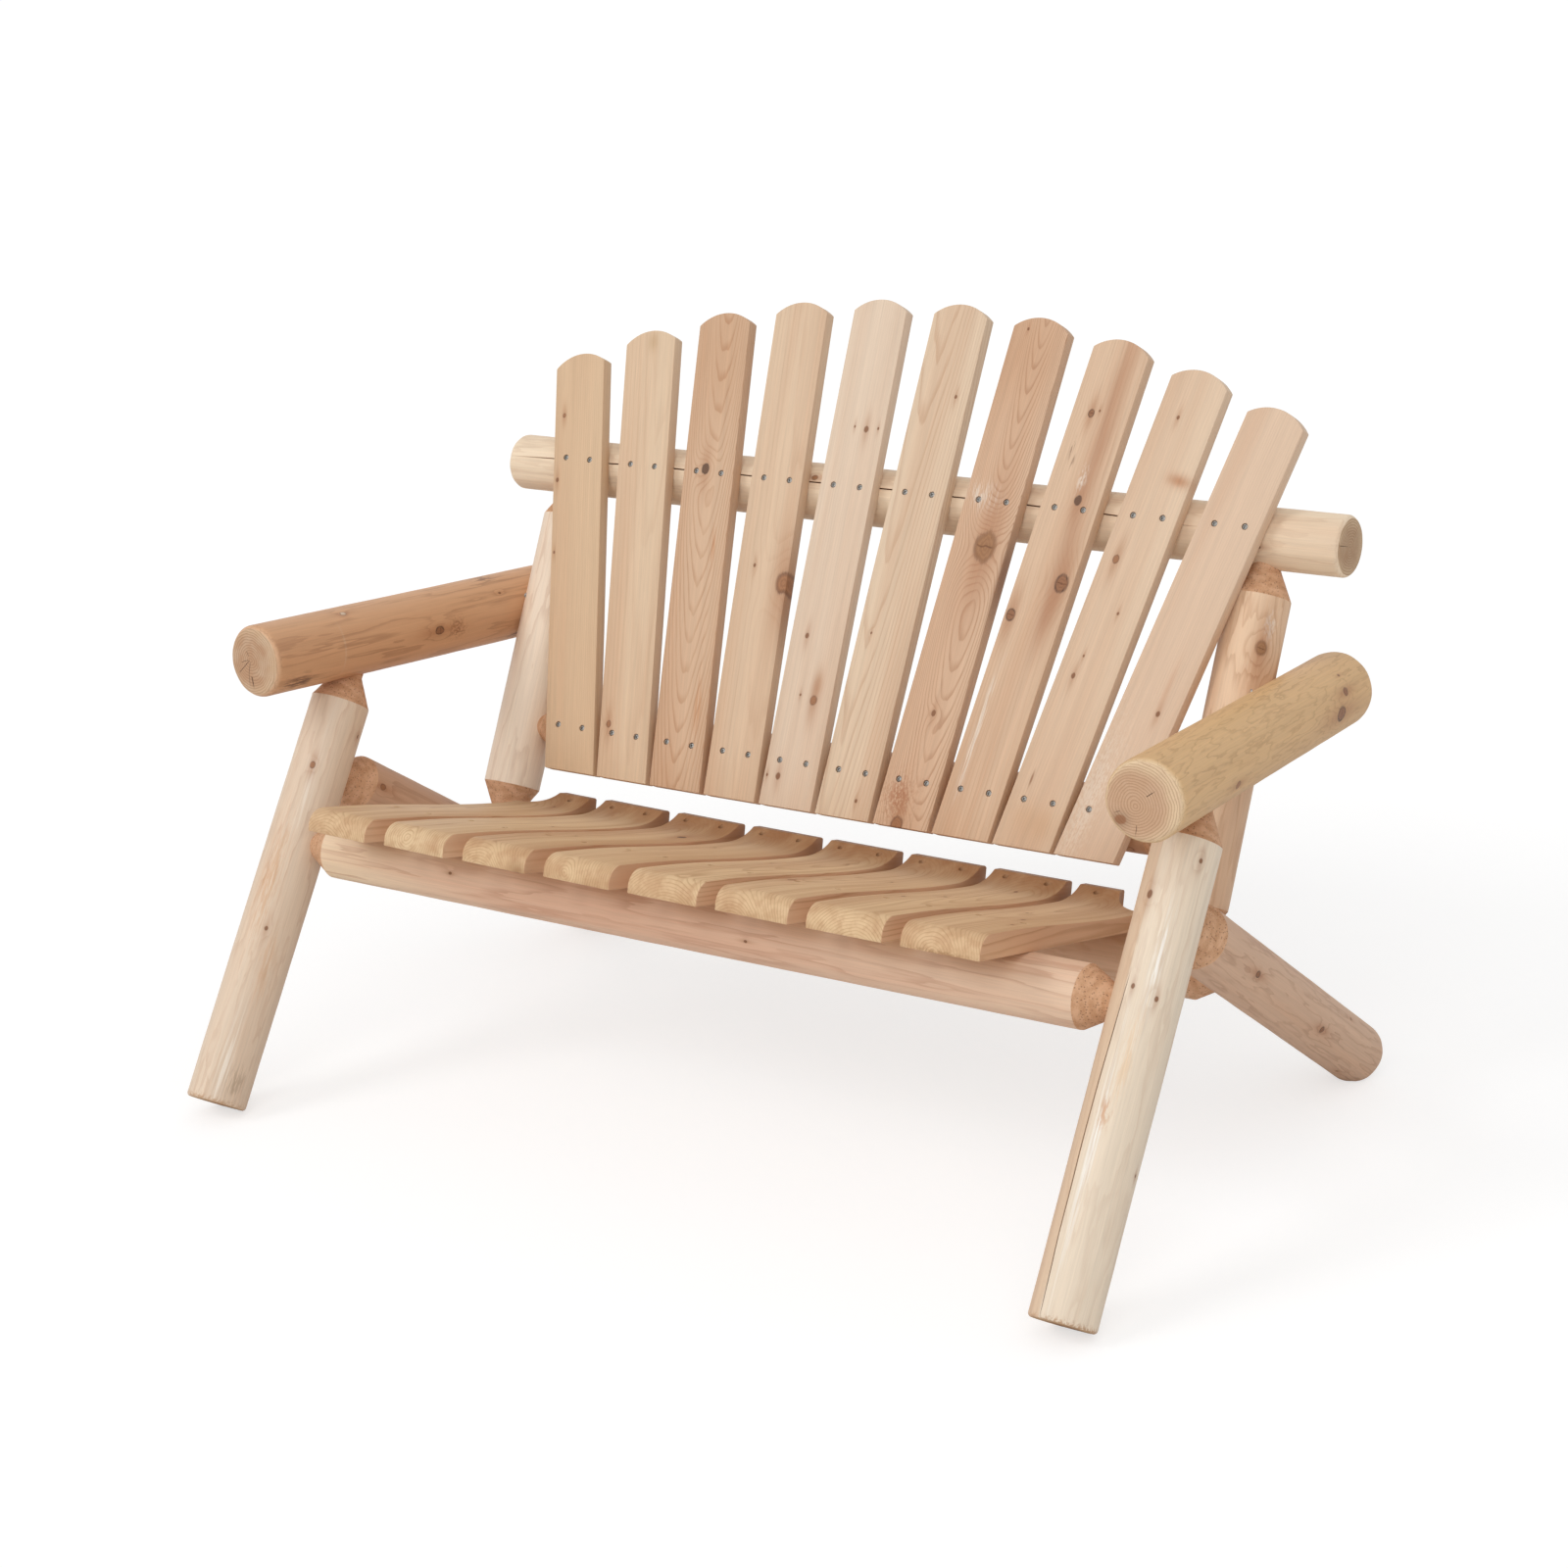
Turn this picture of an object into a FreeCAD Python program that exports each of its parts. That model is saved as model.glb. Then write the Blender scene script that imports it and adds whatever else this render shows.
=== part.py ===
# Free-standing garden love seat in turned cedar logs and boards.
# World frame: X across the seat, Y from front to back, Z up, floor at Z = 0. Millimetres and degrees.
# The side view was measured square to the front legs, so most placements are written in that
# "leg frame" (Z along the front legs) and the whole leg frame is then leaned back on its feet.
import FreeCAD, Part
import math
import os
import Sketcher

doc = FreeCAD.newDocument("loveSeat")
sheet = doc.addObject("Spreadsheet::Sheet", "sizes")
origin = FreeCAD.Vector(0, 0, 0)
zAxis = FreeCAD.Vector(0, 0, 1)

# Every driving size of the seat, one line each.
sizeList = [
    # stance
    ("lean", 34.2),                # how far the front legs lean back from upright
    ("depthShift", -435.2),        # moves the whole seat so that its middle is over the origin
    ("footFlat", 3.0),             # depth of the level flat cut on each foot
    # turned joints
    ("coneAngle", 29.0),
    ("tenonRadius", 20.0),
    ("tenonLength", 46.0),
    ("seatDepth", 2.0),            # how far a cone's small end enters the log it meets
    ("jointClearance", 0.15),
    ("socketEndGap", 1.0),
    # front legs
    ("legSpacing", 1400.0),
    ("legRadius", 43.8),
    ("legEndEase", 5.0),
    # arms
    ("armHeight", 713.2),
    ("armSlope", 29.2),
    ("armToe", 6.2),
    ("armRadius", 52.6),
    ("armFront", 205.6),
    ("armRear", 471.0),
    ("armFrontEase", 9.0),
    ("armRearEase", 16.0),
    ("copeClearance", 0.3),
    # rear legs
    ("rearLegHeight", 511.7),
    ("rearLegDrop", 1.1),
    ("rearLegToe", 2.1),
    ("rearLegRadius", 43.7),
    ("rearLegEndEase", 18.0),
    # seat rails
    ("railRadius", 42.3),
    ("frontRailDepth", 3.1),
    ("frontRailHeight", 397.7),
    ("rearRailDepth", 308.4),
    ("rearRailHeight", 509.3),
    ("rearRailShoulder", 608.0),
    # back frame
    ("postTilt", 6.5),
    ("postSpacing", 1170.0),
    ("postRadius", 43.0),
    ("lowerRailHeight", 179.5),
    ("topRailHeight", 584.6),
    ("topRailLength", 1400.0),
    ("topRailEase", 8.0),
    # back slats
    ("slatWidth", 88.9),
    ("slatThickness", 20.0),
    ("slatPitch", 97.2),
    ("slatFan", 2.98),             # each slat leans this much more than its neighbour
    ("slatBottom", 112.6),
    ("slatArch", 17.0),            # rise of the rounded top
    ("slatLengthA", 750.0),        # the two middle slats
    ("slatLengthB", 740.0),
    ("slatLengthC", 720.0),
    ("slatLengthD", 690.0),
    ("slatLengthE", 652.0),        # the two outer slats
    # seat slats
    ("boardWidth", 116.0),
    ("boardPitch", 140.0),
    ("boardFan", 0.8),
    ("boardShift", -14.1),         # the whole row sits a little to the left and slightly askew
    ("boardSkew", -2.88),
    ("boardNose", 127.0),          # overhang of the rounded nose before the front rail axis
    ("boardRear", 341.0),
    ("boardNoseTop", 32.7),        # heights of the scooped top over the flat underside
    ("boardScoop", 23.0),
    ("boardScoopAt", 235.0),
    ("boardCrest", 42.0),
    ("boardNoseRadius", 24.0),
    ("boardRearEase", 3.0),
    ("boardCrestLength", 13.0),    # level top of the raised rear end
    ("boardRampLength", 75.0),     # from the crest down to the scoop
    ("boardFrontLevel", 43.0),     # level top behind the nose
    ("notchRadius", 56.0),         # round notch in the outer rear corner of the two end boards
    # screws
    ("headRadius", 3.8),
    ("headThickness", 2.6),
    ("shankRadius", 2.1),
    ("holeRadius", 4.7),
    ("pilotClearance", 0.05),
    ("slatScrewSpacing", 45.0),
    ("slatScrewLength", 34.0),
    ("slatScrewRecess", 1.0),
    ("boardScrewSpacing", 66.0),
    ("boardScrewFront", 18.0),
    ("boardScrewRear", 316.0),
    ("boardScrewLength", 52.0),
    ("boardEndScrew", 27.0),       # the single rear screw of a notched board, off its middle
    ("boardScrewHeadFront", 70.0),
    ("boardScrewHeadRear", 73.0),
    ("armScrewHeight", 371.0),
    ("armScrewSide", 41.5),        # how far round the post's front the slanted screw starts
    ("armScrewSlant", 15.0),
    ("armScrewLength", 80.0),
    ("pinScrewAngle", 27.0),
    ("pinScrewLength", 60.0),
]


class Dim:
    # A number together with the spreadsheet expression that gives it.
    def __init__(self, value, text):
        self.value = value
        self.text = text

    def join(self, other, sign, value):
        return Dim(value, "(%s %s %s)" % (self.text, sign, asDim(other).text))

    def __add__(self, other):
        return self.join(other, "+", self.value + asDim(other).value)

    def __radd__(self, other):
        return asDim(other) + self

    def __sub__(self, other):
        return self.join(other, "-", self.value - asDim(other).value)

    def __rsub__(self, other):
        return asDim(other) - self

    def __mul__(self, other):
        return self.join(other, "*", self.value * asDim(other).value)

    def __rmul__(self, other):
        return asDim(other) * self

    def __truediv__(self, other):
        return self.join(other, "/", self.value / asDim(other).value)

    def __neg__(self):
        return asDim(-1.0) * self


def asDim(number):
    return number if isinstance(number, Dim) else Dim(float(number), "(%.6f)" % number)


def sinOf(angle):
    angle = asDim(angle)
    return Dim(math.sin(math.radians(angle.value)), "sin(%s * 1 deg)" % angle.text)


def cosOf(angle):
    angle = asDim(angle)
    return Dim(math.cos(math.radians(angle.value)), "cos(%s * 1 deg)" % angle.text)


def tanOf(angle):
    angle = asDim(angle)
    return Dim(math.tan(math.radians(angle.value)), "tan(%s * 1 deg)" % angle.text)


def arctanOf(ratio):
    return Dim(math.degrees(math.atan(ratio.value)), "(atan(%s) / 1 deg)" % ratio.text)


size = {}
for row, (alias, number) in enumerate(sizeList):
    cell = "B%d" % (row + 1)
    sheet.set("A%d" % (row + 1), alias)
    sheet.set(cell, repr(number))
    sheet.setAlias(cell, alias)
    size[alias] = Dim(number, "sizes." + alias)
doc.recompute()


# Placements, kept as expression text.
def place(x, y, z, *turns):
    text = " * ".join(turns) if turns else turn("z", 0)
    return "placement(vector(%s; %s; %s); %s)" % (asDim(x).text, asDim(y).text, asDim(z).text, text)


def turn(axis, angle):
    direction = {"x": "1; 0; 0", "y": "0; 1; 0", "z": "0; 0; 1"}[axis]
    return "rotation(vector(%s); %s * 1 deg)" % (direction, asDim(angle).text)


def seenFrom(host, member):
    return "minvert(%s) * %s" % (host, member)


def coneLength(radius):
    return (radius - size["tenonRadius"]) / tanOf(size["coneAngle"])


# Frames. floorRise puts the level flats of the feet on the floor.
easing = size["legEndEase"]
lowestPoint = (size["legRadius"] - easing) * sinOf(size["lean"]) - easing * cosOf(size["lean"]) + easing
floorRise = lowestPoint - size["footFlat"]
legFrame = place(0, size["depthShift"], floorRise, turn("x", -size["lean"]))
railRise = size["rearRailHeight"] - size["frontRailHeight"]
railRun = size["rearRailDepth"] - size["frontRailDepth"]
seatAngle = arctanOf(railRise / railRun)
seatFrame = place(0, size["frontRailDepth"], size["frontRailHeight"], turn("x", seatAngle))
backFrame = place(0, size["rearRailDepth"], size["rearRailHeight"], turn("x", size["postTilt"]))


# Helpers that build features.
def newBody(name, placement):
    body = doc.addObject("PartDesign::Body", "Body_" + name)
    body.Label = name
    body.AllowCompound = True
    body.setExpression("Placement", "%s * %s" % (legFrame, placement))
    return body


def newSketch(body, plane, name, offset=None):
    sketch = body.newObject("Sketcher::SketchObject", body.Label + "_" + name)
    for item in body.Origin.OriginFeatures:
        if item.Role == plane:
            sketch.AttachmentSupport = [(item, "")]
    sketch.MapMode = "FlatFace"
    if offset:
        sketch.setExpression("AttachmentOffset", offset)
    return sketch


def tie(sketch, index, kind, dim):
    sketch.setExpression("Constraints[%d]" % index, dim.text)


def pin(sketch, geometry, end, x, y):
    # Fixes one point of the sketch at two bound distances from its origin.
    for kind, dim in (("DistanceX", asDim(x)), ("DistanceY", asDim(y))):
        index = sketch.addConstraint(Sketcher.Constraint(kind, -1, 1, geometry, end, dim.value))
        tie(sketch, index, kind, dim)


def outline(sketch, steps):
    # steps: (x, y) for a straight edge to that point, (x, y, centreX, centreY, way) for an arc to it.
    steps = [tuple(asDim(value) for value in step[:4]) + tuple(step[4:]) for step in steps]
    corners = [FreeCAD.Vector(step[0].value, step[1].value, 0) for step in steps]
    for index, step in enumerate(steps):
        start = corners[index - 1]
        end = corners[index]
        if len(step) == 2:
            sketch.addGeometry(Part.LineSegment(start, end), False)
            continue
        centre = FreeCAD.Vector(step[2].value, step[3].value, 0)
        first, last = (start, end) if step[4] > 0 else (end, start)
        angles = [math.atan2(point.y - centre.y, point.x - centre.x) for point in (first, last)]
        circle = Part.Circle(centre, zAxis, (start - centre).Length)
        sketch.addGeometry(Part.ArcOfCircle(circle, angles[0], angles[1]), False)
    count = len(steps)
    endOf = [2 if len(step) == 2 or step[4] > 0 else 1 for step in steps]
    for index in range(count):
        following = (index + 1) % count
        startOf = 3 - endOf[following]
        sketch.addConstraint(Sketcher.Constraint("Coincident", index, endOf[index], following, startOf))
    for index, step in enumerate(steps):
        pin(sketch, index, endOf[index], step[0], step[1])
        if len(step) == 5:
            dim = step[2]
            place3 = sketch.addConstraint(Sketcher.Constraint("DistanceX", -1, 1, index, 3, dim.value))
            tie(sketch, place3, "DistanceX", dim)


def revolve(body, sketch, kind="PartDesign::Revolution"):
    feature = body.newObject(kind, sketch.Label + "_turned")
    feature.Profile = sketch
    feature.ReferenceAxis = (sketch, ["V_Axis"])
    feature.Angle = 360
    return feature


def extrude(body, sketch, kind, length, middle=False):
    feature = body.newObject(kind, sketch.Label + "_solid")
    feature.Profile = sketch
    feature.Type = 0
    feature.Midplane = middle
    feature.setExpression("Length", asDim(length).text)
    return feature


def circles(sketch, centres, radius):
    for index, (x, y) in enumerate(centres):
        centre = FreeCAD.Vector(asDim(x).value, asDim(y).value, 0)
        sketch.addGeometry(Part.Circle(centre, zAxis, radius.value), False)
        pin(sketch, index, 3, x, y)
        number = sketch.addConstraint(Sketcher.Constraint("Radius", index, radius.value))
        tie(sketch, number, "Radius", radius)


# A turned log end seen along its axis: eased square end, or a cone with a round tenon.
def easedEnd(radius, along, ease, way):
    inner = along - way * ease
    if way > 0:
        return [(radius, inner), (radius - ease, along, radius - ease, inner, 1), (0, along)]
    return [(0, along), (radius - ease, along), (radius, inner, radius - ease, inner, 1)]


def tenonEnd(radius, shoulder, way):
    coneEnd = shoulder + way * coneLength(radius)
    tip = coneEnd + way * size["tenonLength"]
    tenon = size["tenonRadius"]
    points = [(radius, shoulder), (tenon, coneEnd), (tenon, tip), (0, tip)]
    return points if way > 0 else points[::-1]


def turnedLog(name, placement, lowEnd, highEnd):
    body = newBody(name, placement)
    sketch = newSketch(body, "XZ_Plane", "profile")
    outline(sketch, lowEnd + highEnd)
    revolve(body, sketch)
    return body


def socket(body, host, member, radius, shoulder, way, name):
    # The blind seat of another log's cone and tenon, a clearance larger all round.
    gap = size["jointClearance"]
    sketch = newSketch(body, "XY_Plane", name, "%s * %s" % (seenFrom(host, member), place(0, 0, 0, turn("x", 90))))
    coneEnd = shoulder + way * coneLength(radius)
    tip = coneEnd + way * (size["tenonLength"] + size["socketEndGap"])
    tenon = size["tenonRadius"] + gap
    wide = radius + gap
    steps = [(0, shoulder), (wide, shoulder), (tenon, coneEnd), (tenon, tip), (0, tip)]
    outline(sketch, steps if way > 0 else steps[::-1])
    revolve(body, sketch, "PartDesign::Groove")


def bore(body, host, member, radius, low, high, name):
    sketch = newSketch(body, "XY_Plane", name, "%s * %s" % (seenFrom(host, member), place(0, 0, 0, turn("x", 90))))
    outline(sketch, [(0, low), (radius, low), (radius, high), (0, high)])
    revolve(body, sketch, "PartDesign::Groove")


def levelFoot(body, host):
    # Cuts everything below the floor off a foot, leaving a small level flat.
    sketch = newSketch(body, "XY_Plane", "foot", seenFrom("(%s * %s)" % (legFrame, host), place(0, 0, 0)))
    reach = size["legSpacing"]
    outline(sketch, [(-reach, -reach), (reach, -reach), (reach, reach), (-reach, reach)])
    extrude(body, sketch, "PartDesign::Pocket", 2 * size["legRadius"])


# Where each log lies in the leg frame.
halfLegs = size["legSpacing"] / 2
halfPosts = size["postSpacing"] / 2
legCone = coneLength(size["legRadius"])
rearCone = coneLength(size["rearLegRadius"])
railCone = coneLength(size["railRadius"])
postCone = coneLength(size["postRadius"])
rearShoulderDepth = size["legRadius"] + rearCone - size["seatDepth"]
legShoulder = size["armHeight"] - size["armRadius"] / cosOf(size["armSlope"]) - legCone + size["seatDepth"]
frontRailShoulder = halfLegs - size["legRadius"] - railCone + size["seatDepth"]
lowerRailShoulder = halfPosts - size["postRadius"] - railCone + size["seatDepth"]
postLow = size["railRadius"] + postCone - size["seatDepth"]
postHigh = size["topRailHeight"] - size["railRadius"] - postCone + size["seatDepth"]
rearSlope = size["lean"] + size["rearLegDrop"]


def legPlace(side):
    return place(side * halfLegs, 0, 0)


def armPlace(side):
    return place(side * halfLegs, 0, size["armHeight"],
                 turn("z", side * size["armToe"]), turn("x", size["armSlope"] - 90))


def rearLegPlace(side):
    return place(side * halfLegs, rearShoulderDepth, size["rearLegHeight"],
                 turn("z", side * size["rearLegToe"]), turn("x", -90 - size["rearLegDrop"]))


def postPlace(side):
    return "%s * %s" % (backFrame, place(side * halfPosts, 0, 0))


frontRailPlace = place(0, size["frontRailDepth"], size["frontRailHeight"], turn("y", 90))
rearRailPlace = place(0, size["rearRailDepth"], size["rearRailHeight"], turn("y", 90))
lowerRailPlace = "%s * %s" % (backFrame, place(0, 0, size["lowerRailHeight"], turn("y", 90)))
topRailPlace = "%s * %s" % (backFrame, place(0, 0, size["topRailHeight"], turn("y", 90)))
sides = (("left", -1), ("right", 1))


# The slanted screw from each post's front into the arm beside it, and the pin of each lower joint.
def armScrewPlace(side):
    across = side * size["postRadius"] * sinOf(size["armScrewSide"])
    depth = -size["postRadius"] * cosOf(size["armScrewSide"])
    turns = turn("z", -side * size["armScrewSlant"]), turn("x", -90)
    return "%s * %s" % (postPlace(side), place(across, depth, size["armScrewHeight"], *turns))


def postScrewPlace(side):
    angle = size["pinScrewAngle"]
    across = -side * size["postRadius"] * sinOf(angle)
    depth = -size["postRadius"] * cosOf(angle)
    turns = turn("z", -side * angle), turn("x", -90)
    return "%s * %s" % (postPlace(side), place(across, depth, size["lowerRailHeight"], *turns))


def screwBores(body, host, member, name, well, length):
    bore(body, host, member, size["shankRadius"] + size["pilotClearance"], asDim(0), length + 2, name + "Pilot")
    if well:
        bottom = size["slatScrewRecess"] + size["headThickness"]
        bore(body, host, member, size["holeRadius"], asDim(-20), bottom, name + "Well")


def frontLeg(name, side):
    host = legPlace(side)
    body = turnedLog(name, host, easedEnd(size["legRadius"], asDim(0), easing, -1),
                     tenonEnd(size["legRadius"], legShoulder, 1))
    socket(body, host, frontRailPlace, size["railRadius"], side * frontRailShoulder, side, "railSocket")
    socket(body, host, rearLegPlace(side), size["rearLegRadius"], asDim(0), -1, "rearSocket")
    levelFoot(body, host)


def rearLegLength():
    # Long enough for the eased end to reach the floor at the same depth as the front feet.
    ease = size["rearLegEndEase"]
    start = size["rearLegHeight"] * cosOf(size["lean"]) - rearShoulderDepth * sinOf(size["lean"]) + floorRise
    drop = start - (size["rearLegRadius"] - ease) * cosOf(rearSlope) - ease + size["footFlat"]
    return ease + drop / sinOf(rearSlope)


def rearLeg(name, side):
    host = rearLegPlace(side)
    radius = size["rearLegRadius"]
    body = turnedLog(name, host, tenonEnd(radius, asDim(0), -1),
                     easedEnd(radius, rearLegLength(), size["rearLegEndEase"], 1))
    shoulder = size["rearRailShoulder"]
    socket(body, host, rearRailPlace, size["railRadius"], side * shoulder, side, "railSocket")
    levelFoot(body, host)


def arm(name, side):
    host = armPlace(side)
    radius = size["armRadius"]
    body = turnedLog(name, host, easedEnd(radius, -size["armFront"], size["armFrontEase"], -1),
                     easedEnd(radius, size["armRear"], size["armRearEase"], 1))
    socket(body, host, legPlace(side), size["legRadius"], legShoulder, 1, "legSocket")
    wide = size["postRadius"] + size["copeClearance"]
    bore(body, host, postPlace(side), wide, postLow, postHigh, "postCope")
    screwBores(body, host, armScrewPlace(side), "armScrew", False, size["armScrewLength"])


def post(name, side):
    radius = size["postRadius"]
    host = postPlace(side)
    body = turnedLog(name, host, tenonEnd(radius, postLow, -1), tenonEnd(radius, postHigh, 1))
    socket(body, host, lowerRailPlace, size["railRadius"], side * lowerRailShoulder, side, "railSocket")
    screwBores(body, host, armScrewPlace(side), "armScrew", True, size["armScrewLength"])
    screwBores(body, host, postScrewPlace(side), "pinScrew", True, size["pinScrewLength"])


def rail(name, placement, shoulder):
    radius = size["railRadius"]
    return turnedLog(name, placement, tenonEnd(radius, -shoulder, -1), tenonEnd(radius, shoulder, 1))


def topRail(name):
    radius = size["railRadius"]
    half = size["topRailLength"] / 2
    body = turnedLog(name, topRailPlace, easedEnd(radius, -half, size["topRailEase"], -1),
                     easedEnd(radius, half, size["topRailEase"], 1))
    for word, side in sides:
        socket(body, topRailPlace, postPlace(side), size["postRadius"], postHigh, 1, word + "PostSocket")
    return body


# Back slats: each outline is drawn straight in the plane of the back.
slatCount = 10
boardCount = 8


def slatLean(number):
    return (number - (slatCount - 1) / 2) * size["slatFan"]


def slatFoot(number):
    return (number - (slatCount - 1) / 2) * size["slatPitch"]


def slatLength(number):
    step = int(abs(number - (slatCount - 1) / 2))
    return size["slatLength" + "ABCDE"[step]]


def backSlat(name, number):
    body = newBody(name, backFrame)
    lean = slatLean(number)
    half = size["slatWidth"] / 2
    length = slatLength(number)
    corner = length - size["slatArch"]
    arch = (half * half + size["slatArch"] * size["slatArch"]) / (2 * size["slatArch"])
    footX = slatFoot(number)
    footZ = size["slatBottom"]

    def onSlat(across, along):
        x = footX + along * sinOf(lean) + across * cosOf(lean)
        return x, footZ + along * cosOf(lean) - across * sinOf(lean)

    centre = onSlat(asDim(0), length - arch)
    steps = [(footX - half / cosOf(lean), footZ), (footX + half / cosOf(lean), footZ), onSlat(half, corner)]
    steps.append(onSlat(-half, corner) + centre + (1,))
    sketch = newSketch(body, "XZ_Plane", "outline", place(0, 0, size["railRadius"]))
    outline(sketch, steps)
    board = extrude(body, sketch, "PartDesign::Pad", size["slatThickness"])
    front = size["railRadius"] + size["slatThickness"]
    screws = slatScrews(number, size["lowerRailHeight"]) + slatScrews(number, size["topRailHeight"])
    wells = newSketch(body, "XZ_Plane", "wells", place(0, 0, front))
    circles(wells, screws, size["holeRadius"])
    extrude(body, wells, "PartDesign::Pocket", size["slatScrewRecess"] + size["headThickness"])
    holes = newSketch(body, "XZ_Plane", "holes", place(0, 0, front))
    circles(holes, screws, size["shankRadius"] + size["pilotClearance"])
    extrude(body, holes, "PartDesign::Pocket", size["slatThickness"] + 1)
    return board


def slatScrews(number, height):
    middle = slatFoot(number) + (height - size["slatBottom"]) * tanOf(slatLean(number))
    half = size["slatScrewSpacing"] / 2
    return [(middle - half, height), (middle + half, height)]


# Seat slats: one scooped side profile, flat underneath, stretched across the board's width.
def boardLean(number):
    return (number - (boardCount - 1) / 2) * size["boardFan"] + size["boardSkew"]


def boardMiddle(number):
    return (number - (boardCount - 1) / 2) * size["boardPitch"] + size["boardShift"]


def easeCurve(start, end, share):
    # A point of a smooth S between two points, as a share of the way along.
    rise = share * share * (3 - 2 * share)
    return start[0] + (end[0] - start[0]) * share, start[1] + (end[1] - start[1]) * rise


def kickCurve(start, end, share):
    # A point on the sharp upward kick at the rear, flat at its start and steepest at its end.
    rise = share * share * share
    return start[0] + (end[0] - start[0]) * share, start[1] + (end[1] - start[1]) * rise


def seatProfile():
    low = size["railRadius"]
    nose = low + size["boardNoseTop"]
    crest = low + size["boardCrest"]
    radius = size["boardNoseRadius"]
    ease = size["boardRearEase"]
    front = -size["boardNose"]
    rear = size["boardRear"]
    scoop = (size["boardScoopAt"], low + size["boardScoop"])
    crestStart = (rear - ease - size["boardCrestLength"], crest)
    rampEnd = (crestStart[0] - size["boardRampLength"], scoop[1])
    levelEnd = (front + radius + size["boardFrontLevel"], nose)
    steps = [(front, low), (rear, low), (rear, crest - ease), (rear - ease, crest, rear - ease, crest - ease, 1)]
    steps += [crestStart] + [kickCurve(rampEnd, crestStart, share) for share in (0.9, 0.8, 0.7, 0.6, 0.45, 0.3, 0.0)]
    steps += [scoop] + [easeCurve(scoop, levelEnd, share) for share in (0.2, 0.4, 0.6, 0.8, 1.0)]
    steps += [(front + radius, nose), (front, nose - radius, front + radius, nose - radius, 1)]
    return steps, crest


def seatSlat(name, number):
    host = "%s * %s" % (seatFrame, place(boardMiddle(number), 0, 0, turn("z", boardLean(number))))
    body = newBody(name, host)
    steps, crest = seatProfile()
    sketch = newSketch(body, "YZ_Plane", "profile")
    outline(sketch, steps)
    extrude(body, sketch, "PartDesign::Pad", size["boardWidth"], True)
    if notchSide(number):
        notch = newSketch(body, "XY_Plane", "notch", place(0, 0, crest))
        corner = (notchSide(number) * size["boardWidth"] / 2, size["boardRear"])
        circles(notch, [corner], size["notchRadius"])
        extrude(body, notch, "PartDesign::Pocket", crest)
    for word, along, head in boardScrewRows():
        spots = [(across, along) for across in boardSpots(number, word)]
        wells = newSketch(body, "XY_Plane", word + "Wells", place(0, 0, crest))
        circles(wells, spots, size["holeRadius"])
        extrude(body, wells, "PartDesign::Pocket", crest - head + size["headThickness"])
        holes = newSketch(body, "XY_Plane", word + "Holes", place(0, 0, crest))
        circles(holes, spots, size["shankRadius"] + size["pilotClearance"])
        extrude(body, holes, "PartDesign::Pocket", crest)


def boardScrewRows():
    return (("front", size["boardScrewFront"], size["boardScrewHeadFront"]),
            ("rear", size["boardScrewRear"], size["boardScrewHeadRear"]))


def notchSide(number):
    # The side on which an end board is notched beside the post, nought for the boards between.
    return {0: -1, boardCount - 1: 1}.get(number, 0)


def boardSpots(number, word):
    # Places of one board's screws across it: a notched board has one at the rear.
    if word == "rear" and notchSide(number):
        return [-notchSide(number) * size["boardEndScrew"]]
    return [-size["boardScrewSpacing"] / 2, size["boardScrewSpacing"] / 2]


def boardScrews(word, along):
    # Screw places of a whole row, seen in the seat frame.
    spots = []
    for number in range(boardCount):
        for across in boardSpots(number, word):
            lean = boardLean(number)
            x = boardMiddle(number) + across * cosOf(lean) - along * sinOf(lean)
            spots.append((x, across * sinOf(lean) + along * cosOf(lean)))
    return spots


def backScrews(height):
    spots = []
    for number in range(slatCount):
        spots += slatScrews(number, height)
    return spots


# Pilot holes in the rails, drawn in the frame of the slats they belong to.
def backPilots(body, host, height):
    front = size["railRadius"] + size["slatThickness"]
    plane = "%s * %s" % (backFrame, place(0, -front, 0, turn("x", 90)))
    sketch = newSketch(body, "XY_Plane", "pilots", seenFrom(host, plane))
    circles(sketch, backScrews(height), size["shankRadius"] + size["pilotClearance"])
    extrude(body, sketch, "PartDesign::Pocket", size["slatScrewLength"] + 2)


def seatPilots(body, host, row):
    word, along, head = row
    plane = "%s * %s" % (seatFrame, place(0, 0, head))
    sketch = newSketch(body, "XY_Plane", "pilots", seenFrom(host, plane))
    circles(sketch, boardScrews(word, along), size["shankRadius"] + size["pilotClearance"])
    extrude(body, sketch, "PartDesign::Pocket", size["boardScrewLength"] + 1)


def screwRow(name, frame, plane, top, spots, length):
    # Separate identical screws in one piece of the list: heads and shanks from one row of centres.
    body = newBody(name, frame)
    heads = newSketch(body, plane, "heads", place(0, 0, top))
    circles(heads, spots, size["headRadius"])
    pad = extrude(body, heads, "PartDesign::Pad", size["headThickness"])
    pad.Reversed = True
    shanks = newSketch(body, plane, "shanks", place(0, 0, top))
    circles(shanks, spots, size["shankRadius"])
    pad = extrude(body, shanks, "PartDesign::Pad", length)
    pad.Reversed = True


def jointScrews(name, placeOf, length):
    # Two long screws, one on each side, each turned about its own axis.
    body = newBody(name, place(0, 0, 0))
    for word, side in sides:
        turned = place(0, 0, size["slatScrewRecess"], turn("x", 90))
        sketch = newSketch(body, "XY_Plane", word, "%s * %s" % (placeOf(side), turned))
        head = size["headRadius"]
        shank = size["shankRadius"]
        thick = size["headThickness"]
        outline(sketch, [(0, 0), (head, 0), (head, thick), (shank, thick), (shank, length), (0, length)])
        revolve(body, sketch)


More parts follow.
